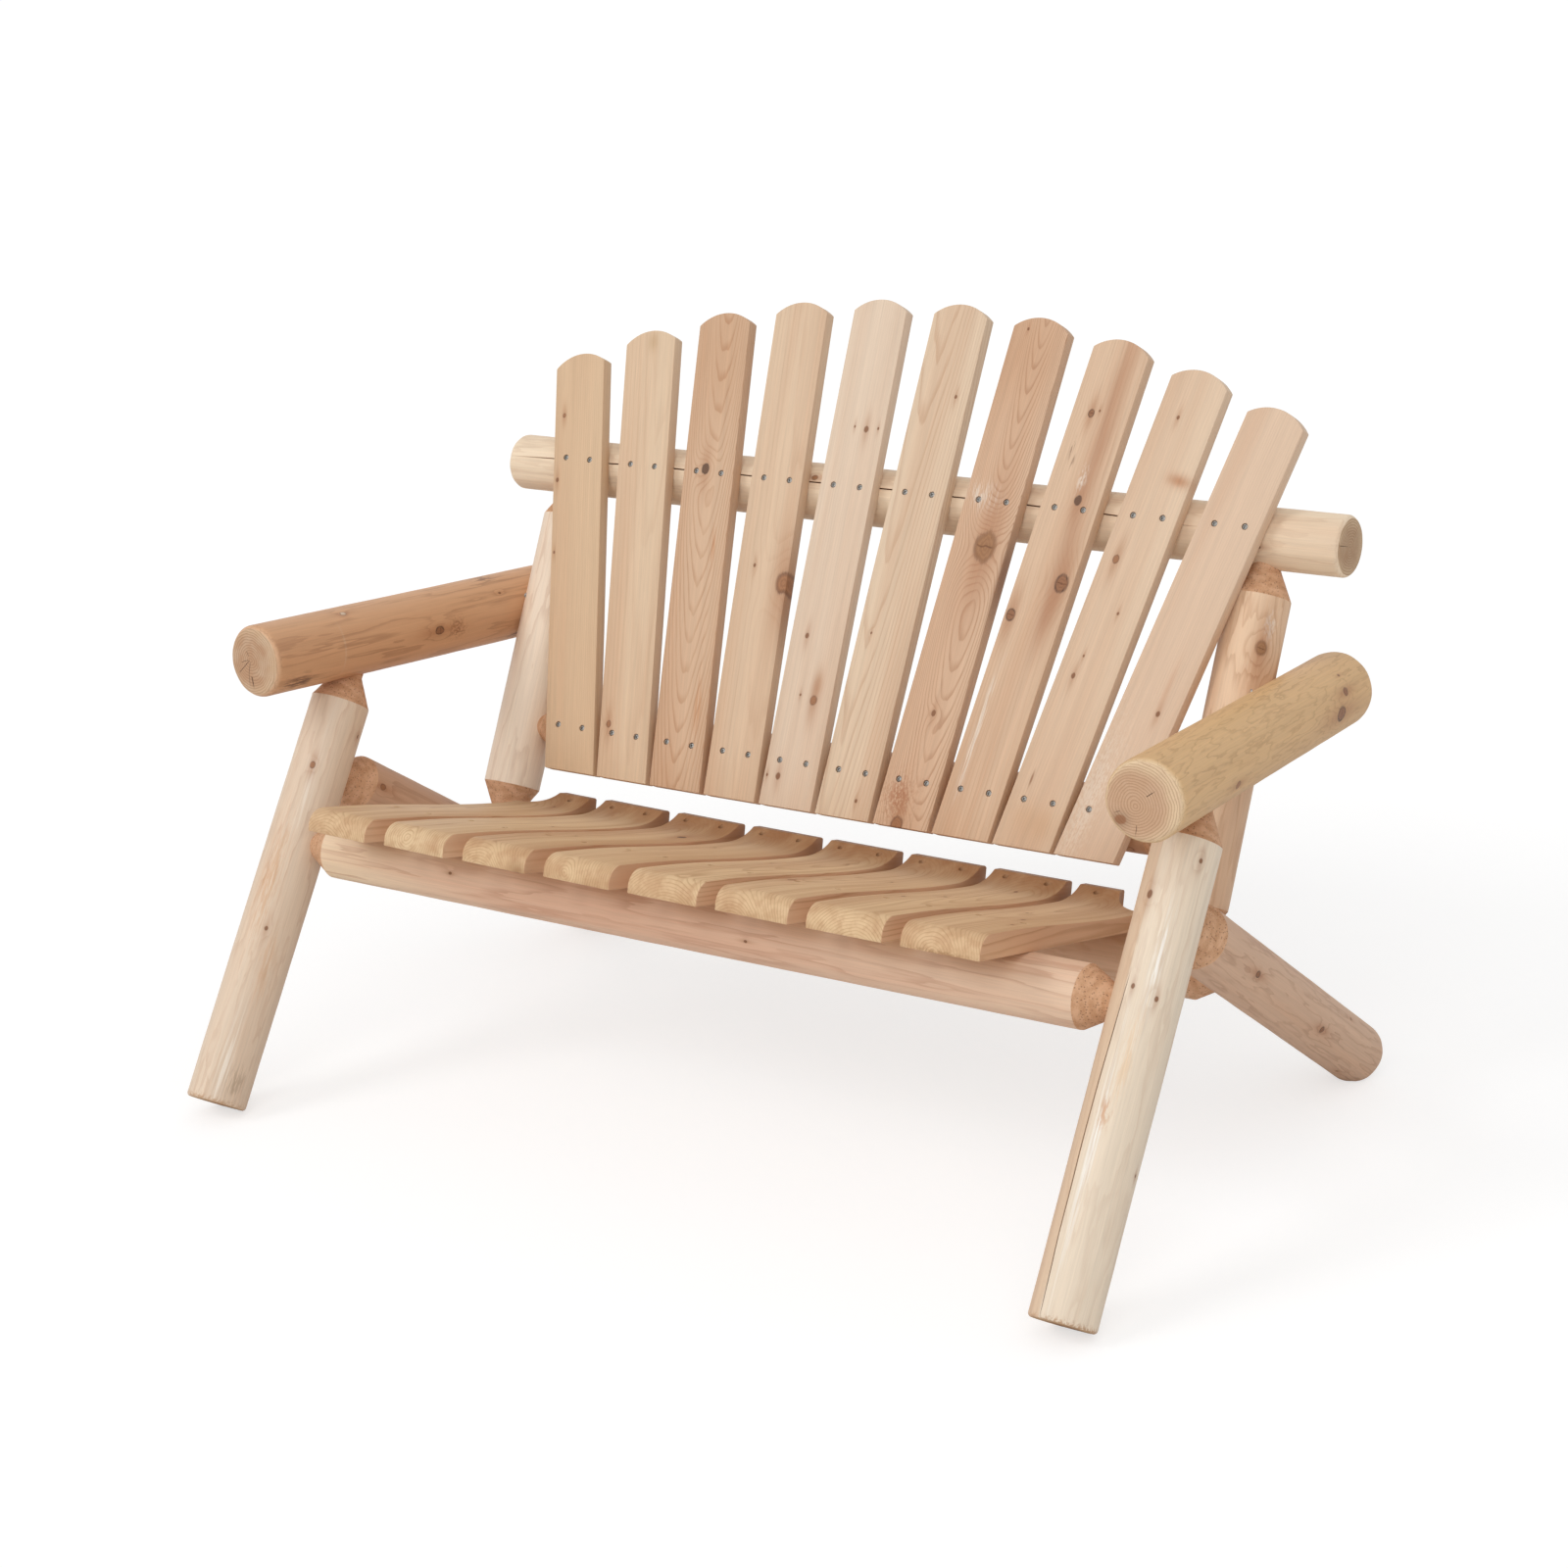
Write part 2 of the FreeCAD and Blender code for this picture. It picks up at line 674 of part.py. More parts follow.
def buildAll():
    for word, side in sides:
        frontLeg("front_leg_" + word, side)
        arm("arm_" + word, side)
        rearLeg("rear_leg_" + word, side)
        post("back_post_" + word, side)
    front = rail("front_seat_rail", frontRailPlace, frontRailShoulder)
    frontRow, rearRow = boardScrewRows()
    seatPilots(front, frontRailPlace, frontRow)
    rear = rail("rear_seat_rail", rearRailPlace, size["rearRailShoulder"])
    for word, side in sides:
        socket(rear, rearRailPlace, postPlace(side), size["postRadius"], postLow, -1, word + "PostSocket")
    seatPilots(rear, rearRailPlace, rearRow)
    lower = rail("lower_back_rail", lowerRailPlace, lowerRailShoulder)
    backPilots(lower, lowerRailPlace, size["lowerRailHeight"])
    for word, side in sides:
        screwBores(lower, lowerRailPlace, postScrewPlace(side), word + "Pin", False, size["pinScrewLength"])
    top = topRail("top_back_rail")
    backPilots(top, topRailPlace, size["topRailHeight"])
    for number in range(slatCount):
        backSlat("back_slat_%02d" % (number + 1), number)
    for number in range(boardCount):
        seatSlat("seat_slat_%d" % (number + 1), number)
    headPlane = size["railRadius"] + size["slatThickness"] - size["slatScrewRecess"]
    for name, height in (("back_lower_screws", size["lowerRailHeight"]), ("back_upper_screws", size["topRailHeight"])):
        screwRow(name, backFrame, "XZ_Plane", headPlane, backScrews(height), size["slatScrewLength"])
    for word, along, head in boardScrewRows():
        spots = boardScrews(word, along)
        screwRow("seat_%s_screws" % word, seatFrame, "XY_Plane", head, spots, size["boardScrewLength"])
    jointScrews("arm_screws", armScrewPlace, size["armScrewLength"])
    jointScrews("joint_pin_screws", postScrewPlace, size["pinScrewLength"])


def checkAndExport():
    os.makedirs("parts", exist_ok=True)
    doc.recompute()
    for item in doc.Objects:
        if "Invalid" in item.State or "Error" in item.State:
            raise RuntimeError("%s is %s" % (item.Label, item.State))
    for body in doc.findObjects("PartDesign::Body"):
        if body.Shape.isNull() or not body.Shape.isValid():
            raise RuntimeError(body.Label + " has no valid shape")
        body.Shape.exportStep("parts/%s.step" % body.Label)
        box = body.Shape.optimalBoundingBox(False)
        print("%-18s %d solids  x %.1f %.1f  y %.1f %.1f  z %.1f %.1f" % (
            body.Label, len(body.Shape.Solids), box.XMin, box.XMax, box.YMin, box.YMax, box.ZMin, box.ZMax))


buildAll()
checkAndExport()
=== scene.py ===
import bmesh
import bpy
from math import asin, atan2, cos, degrees, pi, radians, sin, tan
from mathutils import Matrix, Vector, noise


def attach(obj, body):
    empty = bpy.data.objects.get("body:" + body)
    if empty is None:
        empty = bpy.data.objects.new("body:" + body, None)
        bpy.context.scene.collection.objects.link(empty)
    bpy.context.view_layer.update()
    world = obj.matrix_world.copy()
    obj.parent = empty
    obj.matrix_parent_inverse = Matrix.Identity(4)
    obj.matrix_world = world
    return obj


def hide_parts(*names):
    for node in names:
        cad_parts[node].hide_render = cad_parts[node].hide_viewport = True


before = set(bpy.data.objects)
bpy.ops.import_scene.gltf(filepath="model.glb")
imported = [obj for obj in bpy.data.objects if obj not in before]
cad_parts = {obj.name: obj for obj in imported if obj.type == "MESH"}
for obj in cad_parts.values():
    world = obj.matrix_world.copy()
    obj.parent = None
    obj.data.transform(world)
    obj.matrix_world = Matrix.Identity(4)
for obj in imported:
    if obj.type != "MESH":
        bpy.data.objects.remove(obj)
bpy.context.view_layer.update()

scene = bpy.context.scene
mm = 0.001


# Places. Lengths in millimetres and angles in degrees, as on the workshop drawing.
def move(x, y, z):
    return Matrix.Translation((x * mm, y * mm, z * mm))


def turn(axis, angle):
    return Matrix.Rotation(radians(angle), 4, axis)


stance = {
    "lean": 34.2,           # the front legs lean back by this much
    "depthShift": -435.2,
    "floorRise": 19.673,
    "legSpacing": 1400.0,
    "postSpacing": 1170.0,
    "postTilt": 6.5,
    "frontRail": (3.1, 397.7),
    "rearRail": (308.4, 509.3),
    "lowerRail": 179.5,
    "topRail": 584.6,
    "armHeight": 713.2,
    "armDrop": 29.2,
    "rearLegHeight": 511.7,
}
frontLegRadius, rearLegRadius, armRadius, postRadius, railRadius = 43.8, 43.7, 52.6, 43.0, 42.3
halfLegs = stance["legSpacing"] / 2
halfPosts = stance["postSpacing"] / 2
railRun = stance["rearRail"][0] - stance["frontRail"][0]
railRise = stance["rearRail"][1] - stance["frontRail"][1]
legFrame = move(0, stance["depthShift"], stance["floorRise"]) @ turn("X", -stance["lean"])
backFrame = legFrame @ move(0, *stance["rearRail"]) @ turn("X", stance["postTilt"])
seatFrame = legFrame @ move(0, *stance["frontRail"]) @ turn("X", degrees(atan2(railRise, railRun)))


def putInScene(name, data):
    thing = bpy.data.objects.new(name, data)
    scene.collection.objects.link(thing)
    return thing


def toMesh(shape, name):
    mesh = bpy.data.meshes.new(name)
    shape.to_mesh(mesh)
    shape.free()
    return mesh


def plainMesh(thing):
    # What an object's modifiers made of it, as a mesh; the object itself goes.
    mesh = bpy.data.meshes.new_from_object(thing.evaluated_get(bpy.context.evaluated_depsgraph_get()))
    bpy.data.objects.remove(thing)
    return mesh


def finishPiece(name, mesh, node):
    # A finished mesh that stands for its CAD node.
    piece = putInScene(name, mesh)
    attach(piece, "root")
    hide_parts(node)


# ---- camera
camera = {
    "place": (2.4605, -3.4074, 1.8873),
    "turn": (71.330, 3.287, 34.412),
    "lens": 73.725,
    "sensor": 36.0,
    "sight": (0.1, 100.0),
}


def setUpCamera():
    data = bpy.data.cameras.new("photoCamera")
    data.lens = camera["lens"]
    data.sensor_width = camera["sensor"]
    data.clip_start, data.clip_end = camera["sight"]
    viewer = putInScene("photoCamera", data)
    viewer.location = camera["place"]
    viewer.rotation_euler = [radians(angle) for angle in camera["turn"]]
    scene.camera = viewer
    scene.view_settings.view_transform = "Standard"
    print("camera set up")


# ---- shader sums
def mathNode(operation, mirrored=False):
    def join(wire, other):
        return wire.bench.maths(operation, *((other, wire) if mirrored else (wire, other)))
    return join


class Wire:
    # A shader socket that takes part in Python sums; each sum adds its Math node.
    def __init__(self, bench, socket):
        self.bench = bench
        self.socket = socket

    __add__, __radd__ = mathNode("ADD"), mathNode("ADD", True)
    __sub__, __rsub__ = mathNode("SUBTRACT"), mathNode("SUBTRACT", True)
    __mul__, __rmul__ = mathNode("MULTIPLY"), mathNode("MULTIPLY", True)
    __truediv__, __pow__ = mathNode("DIVIDE"), mathNode("POWER")


class Bench:
    # The nodes of one material, world or modifier, and the ways to add to them.
    def __init__(self, owner):
        self.owner = self.tree = owner
        if not isinstance(owner, bpy.types.NodeTree):
            owner.use_nodes = True
            self.tree = owner.node_tree
        self.tree.nodes.clear()

    def node(self, kind, settings=None, values=(), result=0):
        made = self.tree.nodes.new(kind)
        for key, value in (settings or {}).items():
            setattr(made, key, value)
        for key, value in values.items() if isinstance(values, dict) else enumerate(values):
            for part in value if isinstance(value, list) else [value]:
                if isinstance(part, Wire):
                    self.tree.links.new(part.socket, made.inputs[key])
                else:
                    made.inputs[key].default_value = part
        return Wire(self, made.outputs[result]) if made.outputs else None

    def maths(self, operation, *values):
        return self.node("ShaderNodeMath", {"operation": operation}, values)

    def vector(self, operation, *values, result=0):
        return self.node("ShaderNodeVectorMath", {"operation": operation}, values, result)

    def length(self, where):
        return self.vector("LENGTH", where, result="Value")

    def axes(self, where):
        parts = self.node("ShaderNodeSeparateXYZ", None, (where,)).socket.node
        return [Wire(self, output) for output in parts.outputs]

    def grey(self, level):
        return self.node("ShaderNodeCombineXYZ", None, (level, level, level))

    def reading(self, name, result="Vector"):
        return self.node("ShaderNodeAttribute", {"attribute_name": name}, (), result)

    def millimetres(self, where):
        return self.vector("MULTIPLY", where, (1000.0, 1000.0, 1000.0))

    def noise(self, where, scale, detail=2.0, roughness=0.5, result=0):
        values = {"Vector": where, "Scale": scale, "Detail": detail, "Roughness": roughness}
        return self.node("ShaderNodeTexNoise", None, values, result)

    def stretch(self, where, across, along, seed=0.0):
        # Points drawn out along the grain, moved to a place of their own in the noise.
        return self.vector("MULTIPLY_ADD", where, (across, across, along), (seed, seed * 1.7, seed * 0.6))

    def grain(self, where, along, seed, *rest):
        return self.noise(self.stretch(where, 1.0, along, seed), *rest)

    def step(self, value, low, high):
        values = {"Value": value, "From Min": low, "From Max": high}
        return self.node("ShaderNodeMapRange", {"interpolation_type": "SMOOTHSTEP"}, values)

    def falloff(self, distance, rate):
        return self.maths("EXPONENT", distance * distance * rate)

    def blend(self, share, first, second, way="MIX"):
        settings = {"data_type": "RGBA", "blend_type": way}
        return self.node("ShaderNodeMix", settings, {0: share, 6: first, 7: second}, 2)

    def lay(self, share, colour, factor=1.0):
        # Lays one more colour over the bench's colour.
        self.colour = self.blend(share, self.colour, paint(*colour, factor))

    def bump(self, height, depth, strength):
        return self.node("ShaderNodeBump", None, {"Strength": strength, "Distance": depth * mm, "Height": height})

    def finish(self, roughness, normal, others):
        values = {"Base Color": self.colour, "Roughness": roughness, "Normal": normal, **others}
        surface = self.node("ShaderNodeBsdfPrincipled", None, values)
        self.node("ShaderNodeOutputMaterial", None, {"Surface": surface})
        return self.owner


def newMaterial(name, colour):
    bench = Bench(bpy.data.materials.new(name))
    bench.colour = paint(*colour)
    return bench


def paint(red, green, blue, factor=1.0):
    # A colour read off the photograph as 0 to 255, made linear.
    def linear(level):
        level = level / 255
        return (level / 12.92 if level <= 0.04045 else ((level + 0.055) / 1.055) ** 2.4) * factor
    return (linear(red), linear(green), linear(blue), 1.0)


# ---- wood
cedar = {
    "late": (170, 116, 76),      # latewood lines
    "heart": (196, 148, 112),    # pinkish brown heartwood
    # crack is painted shade laid in drying cracks
    "crack": (106, 66, 44),
    "stain": (170, 114, 76),     # the darker wood round a knot
    "ringWidth": 3.4,
    "ringStrength": 0.3,
    "waver": 4.0,
    "ripple": 0.0,               # fine jagged lines, as on peeled logs
    "heartStrength": 0.35,
    "stripes": 0.28,
    "warmStripes": False,        # stripes of heartwood, and otherwise of a darker tone
    "fibre": 0.1,
    "streaks": 0.2,
    "flow": 0.18,
    "slope": (0.004, 0.012),
    "polish": 0.56,
    # sides lays painted shade on a board's sawn sides
    "sides": None,               # the sawn sides of a board: distance from its middle, colour, strength
    "edge": None,                # a strip of another colour with a straight edge
    "split": False,              # whether the mesh says where drying cracks run
    "zones": (),
}
chalk = (240, 228, 212)          # torn pale fibres
# noise drawn out along the grain: factor along it (small is long), seed, scale, detail and roughness
grainNoise = {
    "fibre": (0.03, 2, 0.85, 3.0, 0.65),
    "uneven": (0.1, 5, 0.05, 2.0, 0.5),
    "patch": (0.05, 9, 0.02, 2.0, 0.5),
    "stripe": (0.01, 11, 0.09, 2.0, 0.5),
    "streak": (0.014, 7, 0.42, 2.0, 0.55),
    "ripple": (0.0, 3, 0.06, 3.0, 0.5),      # its factor is the look's flow
    "fleck": (0.0, 17, 0.32, 3.0, 0.65),     # and here the zone's own
}
knotForm = {
    "drawn": (0.78, 0.24),       # factors along the grain that draw out a knot and its stain
    "core": (0.66, 1.06),        # where it ends, as a share of its radius
    "rim": (0.9, -46.0),         # place and sharpness of the dark rim
    "stain": (-0.5, 0.62),       # fall and strength of the stain round it
    "rings": 19.0,
    "ragged": (0.35, 0.6, 0.4),  # how much fibre, uneven and streak noise break its edge
    "crackSway": 9.0,
    "crackWidth": 0.1,
}
# inside and rim colours, strength of rim and stain, how far the rings swell round the knot, and how wide
knotKinds = {
    "pin": ((136, 90, 58), (100, 64, 42), 0.3, 0.7, 0.9, 3.2),
    "round": ((164, 112, 74), (100, 62, 40), 0.7, 0.9, 0.9, 2.6),
    "dark": ((96, 64, 44), (48, 32, 24), 0.8, 0.8, 1.4, 3.0),
    "oval": ((160, 114, 76), (116, 78, 50), 0.6, 1.0, 1.0, 2.6),
    "torn": ((150, 100, 66), (72, 46, 32), 0.9, 1.0, 1.1, 2.8),
    "ring": ((200, 158, 124), (112, 74, 50), 0.7, 0.5, 1.0, 2.4),
    "pale": ((224, 204, 180), (132, 94, 66), 0.8, 0.6, 0.9, 2.6),
}


def boardKnots(rows, face):
    # Knots of a flat board, from (across, along, radius, kind); they run through its thickness.
    return [(kind, radius, (across, face, along), (0.1, 0.98, 0.17)) for across, along, radius, kind in rows]


def logKnots(rows, logRadius):
    # Knots of a log, from (angle round it, height, radius, kind); they grow out of its middle.
    knots = []
    for angle, height, radius, kind in rows:
        x, y = cos(radians(angle)), sin(radians(angle))
        knots.append((kind, radius, (x * logRadius, y * logRadius, height), (x * 0.96, y * 0.96, 0.28)))
    return knots


def woodMaterial(name, look, knots):
    wood = {**cedar, **look}
    bench = newMaterial(name, wood["light"])
    seed = wood["seed"] * 13.7
    spot = bench.millimetres(bench.reading("grain"))
    amount = wood["waver"] * 2
    wander = bench.grain(spot, 0.12, seed, 0.016, 2.0, 0.45, 1)
    drift = bench.vector("MULTIPLY_ADD", wander, (amount, amount, 0.0), (-amount / 2, -amount / 2, 0.0))
    x, y, z = bench.axes(bench.vector("ADD", spot, drift))

    def along(kind, drawn=0.0):
        factor, shift, *rest = grainNoise[kind]
        return bench.grain(spot, drawn or factor, seed + shift, *rest)

    fibre, uneven, patch, stripe, streak = map(along, ("fibre", "uneven", "patch", "stripe", "streak"))

    # growth rings round a tilted pith, which swell round the knots
    fromX = x - z * wood["slope"][0] - wood["pith"][0]
    fromY = y - z * wood["slope"][1] - wood["pith"][1]
    radial = (fromX * fromX + fromY * fromY) ** 0.5
    if wood["ripple"]:
        ripple = along("ripple", wood["flow"])
        radial = radial + (ripple - 0.5) * wood["ripple"]
    fields = []
    for kind, radius, at, axis in knots:
        away = bench.vector("SUBTRACT", spot, at)
        drawn = [bench.vector("MULTIPLY", away, (1.0, 1.0, factor)) for factor in knotForm["drawn"]]
        field, trail = [bench.length(bench.vector("CROSS_PRODUCT", where, axis)) / radius for where in drawn]
        swell, reach = knotKinds[kind][4:]
        radial = radial + bench.falloff(field, -1 / reach ** 2) * (radius * swell)
        fields.append((kind, radius, away, field, trail))
    share = bench.maths("FRACT", radial / wood["ringWidth"] + uneven * 1.2)
    late = bench.step(share, 0.56, 0.93) * (1 - bench.step(share, 0.94, 1.0))

    bench.lay(bench.step(patch, 0.4, 0.72) * wood["heartStrength"], wood["heart"])
    darker = (wood["heart"],) if wood["warmStripes"] else (wood["light"], 0.8)
    bench.lay(bench.step(stripe, 0.38, 0.72) * wood["stripes"], *darker)
    # painted shade: the sawn sides of a board are made darker
    if wood["sides"]:
        distance, tone, strength = wood["sides"]
        aside = bench.maths("ABSOLUTE", bench.vector("DOT_PRODUCT", spot, (1.0, 0.0, 0.0), result="Value"))
        bench.lay(bench.step(aside, distance - 0.8, distance) * strength, tone)
    for at, size, tone, strength, flecks in wood["zones"]:
        # A patch of another colour, soft or broken up into flecks along the grain.
        away = bench.length(bench.vector("DIVIDE", bench.vector("SUBTRACT", spot, at), size))
        mask = bench.maths("EXPONENT", away * away * -1.0 + (uneven - 0.5) * 1.2)
        if flecks:
            mask = mask * bench.step(along("fleck", flecks) + mask * 0.12, 0.5, 0.66)
        bench.lay(bench.maths("MINIMUM", mask, 1.0) * strength, tone)
    if wood["edge"]:
        # A straight-edged strip of another colour, as where the knife left the inner bark.
        side = wood["edge"]
        beyond = x * side["way"][0] + y * side["way"][1] + (uneven - 0.5) * side["sway"] - side["from"]
        bench.lay(bench.step(beyond, 0.0, side["soft"]) * side["strength"], side["colour"])
    bench.lay(late * (bench.step(uneven, 0.25, 0.7) * 0.6 + 0.4) * wood["ringStrength"], wood["late"])
    fine = (fibre - 0.5) * wood["fibre"] * 2 + (streak - 0.5) * wood["streaks"] + 1.0
    bench.colour = bench.blend(1.0, bench.colour, bench.grey(fine), "MULTIPLY")
    height = fibre * 0.4 - late * 0.2 + streak * 0.5

    for kind, radius, away, field, trail in fields:
        inside, edge, edgeStrength, stain = knotKinds[kind][:4]
        ragged = field
        for breaking, amount in zip((fibre, uneven, streak), knotForm["ragged"]):
            ragged = ragged + (breaking - 0.5) * amount
        core = 1 - bench.step(ragged, *knotForm["core"])
        rimAt, rimSharpness = knotForm["rim"]
        rim = bench.falloff(ragged - rimAt, rimSharpness) * (bench.step(streak, 0.3, 0.6) * 0.6 + 0.4)
        stainReach, stainStrength = knotForm["stain"]
        bench.lay(bench.falloff(trail, stainReach) * stainStrength * stain, cedar["stain"])
        bench.lay(core * 0.88, inside)
        bench.lay(core * (bench.maths("SINE", ragged * knotForm["rings"]) * 0.5 + 0.5) * 0.3, edge)
        bench.lay(rim * edgeStrength, edge)
        height = height + core * 0.4 - rim * 0.8
        if kind in ("torn", "oval"):
            # A drying crack across the knot, drawn as a bump groove darkened with painted shade.
            sway = knotForm["crackSway"]
            gap = bench.axes(away)[2] + (ripple if wood["ripple"] else uneven) * sway - sway / 2
            gap = bench.maths("ABSOLUTE", gap) / (radius * knotForm["crackWidth"])
            gap = (1 - bench.step(gap, 0.3, 1.0)) * (1 - bench.step(ragged, 0.5, 0.9))
            bench.lay(gap * 0.6, wood["crack"])
            height = height - gap * 2.0
    # painted shade along the real groove of each drying crack
    if wood["split"]:
        bench.lay(bench.step(bench.reading("split", "Fac"), 0.02, 0.4), wood["crack"])
    rough = wood["polish"] + (fibre - 0.5) * 0.2
    return bench.finish(rough, bench.bump(height, 0.4, 0.7), {"Specular IOR Level": 0.35})


def coneMaterial(name, look):
    # The knife-cut cone at a log's end: brown, fibrous and full of fine pits.
    bench = newMaterial(name, look["light"])
    mark = bench.reading("mark", "Fac")
    shift = bench.node("ShaderNodeCombineXYZ", None, (mark * 900.0, mark * 370.0, mark * 540.0))
    spot = bench.vector("ADD", bench.millimetres(bench.reading("grain")), shift)
    torn = bench.grain(spot, 0.45, 0.0, 0.9, 4.0, 0.7)
    band = bench.noise(bench.stretch(spot, 0.4, 1.0), 0.13)
    pits = bench.node("ShaderNodeTexVoronoi", None, {"Vector": bench.stretch(spot, 1.0, 0.7), "Scale": 0.3})
    hole = 1 - bench.step(pits, 0.08, 0.34)
    bench.lay(bench.step(band, 0.3, 0.7), look["dark"])
    bench.lay(bench.step(torn, 0.42, 0.75) * 0.6, look["fibre"])
    # painted shade in the pits
    bench.lay(hole * 0.6, look["pit"])
    return bench.finish(0.75 + (torn - 0.5) * 0.2, bench.bump(torn - hole * 0.8, 0.9, 0.9),
                        {"Specular IOR Level": 0.25})


def endMaterial(name, look):
    # Sawn end grain: rings round the pith, drying cracks from it and fine specks.
    bench = newMaterial(name, look["light"])
    seed = look["seed"] * 11.3
    spot = bench.millimetres(bench.reading("grain"))
    wander = bench.grain(spot, 0.2, seed, 0.03, 2.0, 0.5, 1)
    bent = bench.vector("MULTIPLY_ADD", wander, (9.0, 9.0, 0.0), spot)
    flat = bench.vector("MULTIPLY_ADD", bent, (1.0, 1.0, 0.0), (-look["pith"][0] - 4.5, -look["pith"][1] - 4.5, 0.0))
    radial = bench.length(flat)
    share = bench.maths("FRACT", radial / look["ringWidth"])
    late = bench.step(share, 0.3, 0.9) - bench.step(share, 0.93, 1.0)
    speck = bench.grain(spot, 1.0, seed + 3, 0.8, 3.0, 0.6)
    cloud = bench.grain(spot, 1.0, seed + 6, 0.045)
    bench.lay(bench.step(radial, look["heartSize"] * 1.15, look["heartSize"] * 0.7), look["heart"])
    bench.lay(bench.step(cloud, 0.4, 0.75) * 0.5, look["cloud"])
    bench.lay(late * look["ringStrength"], look["late"])
    bench.lay(bench.step(speck, 0.45, 0.8) * 0.3, look["late"])
    height = speck * 0.5 - late * 0.3
    if look["knot"]:
        knotX, knotY, knotRadius = look["knot"]
        away = bench.vector("SUBTRACT", bench.vector("MULTIPLY", spot, (1.0, 1.0, 0.0)), (knotX, knotY, 0.0))
        field = bench.length(bench.vector("MULTIPLY", away, (0.9, 1.15, 0.0))) / knotRadius + (speck - 0.5) * 0.4
        bench.lay(bench.falloff(field, -0.4) * 0.4, look["crack"])
        bench.lay((1 - bench.step(field, 0.8, 1.1)) * 0.7, look["knotTone"])
    x, y, z = bench.axes(flat)
    # drying cracks from the pith: bump grooves darkened with painted shade
    for angle, start, reach, width in look["cracks"]:
        alongX, alongY = cos(radians(angle)), sin(radians(angle))
        along = x * alongX + y * alongY
        aside = bench.maths("ABSOLUTE", x * -alongY + y * alongX + (cloud - 0.5) * 4.0)
        taper = bench.step(along, reach, reach * 0.3) * bench.step(along, start, start + 3.0)
        gap = (1 - bench.step(aside / width, 0.4, 1.0)) * bench.step(taper, 0.0, 0.4)
        bench.lay(gap * 0.85, look["crack"])
        height = height - gap * 1.2
    return bench.finish(0.72 + (speck - 0.5) * 0.15, bench.bump(height, 0.5, 0.8), {"Specular IOR Level": 0.25})


# ---- turned logs
turning = {
    "tenonRadius": 20.0,
    "tenonLength": 46.0,
    "coneAngle": 29.0,
    "coneSteps": 12,
    "coneRough": 0.5,
    "easeSteps": 6,
    "columns": 96,
    "rowStep": 8.0,
    "flatDepth": 0.7,        # the knife leaves long shallow flats
    "waves": 0.25,           # and slight waves
    "crackDepth": 3.2,
    "seating": 2.0,          # how far a cone goes into its socket
}
skin, cone, sawn = 0, 1, 2


def coneLength(radius):
    return (radius - turning["tenonRadius"]) / tan(radians(turning["coneAngle"]))


def logEnd(radius, shape, at, ease, way):
    # (radius, height, kind) from the middle of an end out to the skin.
    tenon, steps = turning["tenonRadius"], turning["coneSteps"]
    if shape == "cone":
        tip = at + way * coneLength(radius)
        rows = [(reach, tip + way * turning["tenonLength"], cone) for reach in (0.0, tenon)]
        for step in range(steps + 1):
            share = step / steps
            rows.append((tenon + (radius - 0.6 - tenon) * share, tip + (at + way * 0.5 - tip) * share, cone))
        return rows + [(radius - 0.15, at, skin)]
    rows = [((radius - ease) * share, at, sawn) for share in (0.0, 0.2, 0.4, 0.6, 0.75, 0.88, 0.96)]
    for step in range(turning["easeSteps"] + 1):
        angle = step / turning["easeSteps"] * pi / 2
        reach = radius - ease + ease * sin(angle)
        rows.append((reach, at - way * ease * (1 - cos(angle)), sawn if step < 2 else skin))
    return rows


def logRows(log):
    low = logEnd(log["radius"], *log["low"], -1)
    high = logEnd(log["radius"], *log["high"], 1)
    start, stop = low[-1][1], high[-1][1]
    count = max(2, round((stop - start) / turning["rowStep"]))
    middle = [(log["radius"], start + (stop - start) * step / count, skin) for step in range(1, count)]
    return low + middle + high[::-1]


def logColumns(log):
    # Angles round the log, closer together where a drying crack runs; each is (angle, crack, side).
    plain = [360.0 * step / turning["columns"] for step in range(turning["columns"])]
    columns = []
    for crack in log.get("cracks", ()):
        for side in (-1.0, -0.45, 0.0, 0.45, 1.0):
            columns.append((crack["angle"] + side * crack["width"], crack, side))
        clear = crack["width"] + crack["sway"] * 0.6 + 1.0
        low, high = min(0.0, crack["bow"]) - clear, max(0.0, crack["bow"]) + clear
        plain = [angle for angle in plain if not low < (angle - crack["angle"] + 180) % 360 - 180 < high]
    columns += [(angle, None, 0.0) for angle in plain]
    return sorted(columns, key=lambda column: column[0] % 360)


def crackState(crack, height, seed):
    # Where along the log a crack is open, and how far it sways from a straight line.
    low, high = crack["span"]
    share = (height - low) / (high - low)
    sway = crack["sway"] * noise.noise(Vector((height * 0.011, seed, 3.1))) + crack["bow"] * 4 * share * (1 - share)
    if share <= 0 or share >= 1:
        return 0.0, sway
    return min(1.0, 6 * share, 6 * (1 - share)), sway


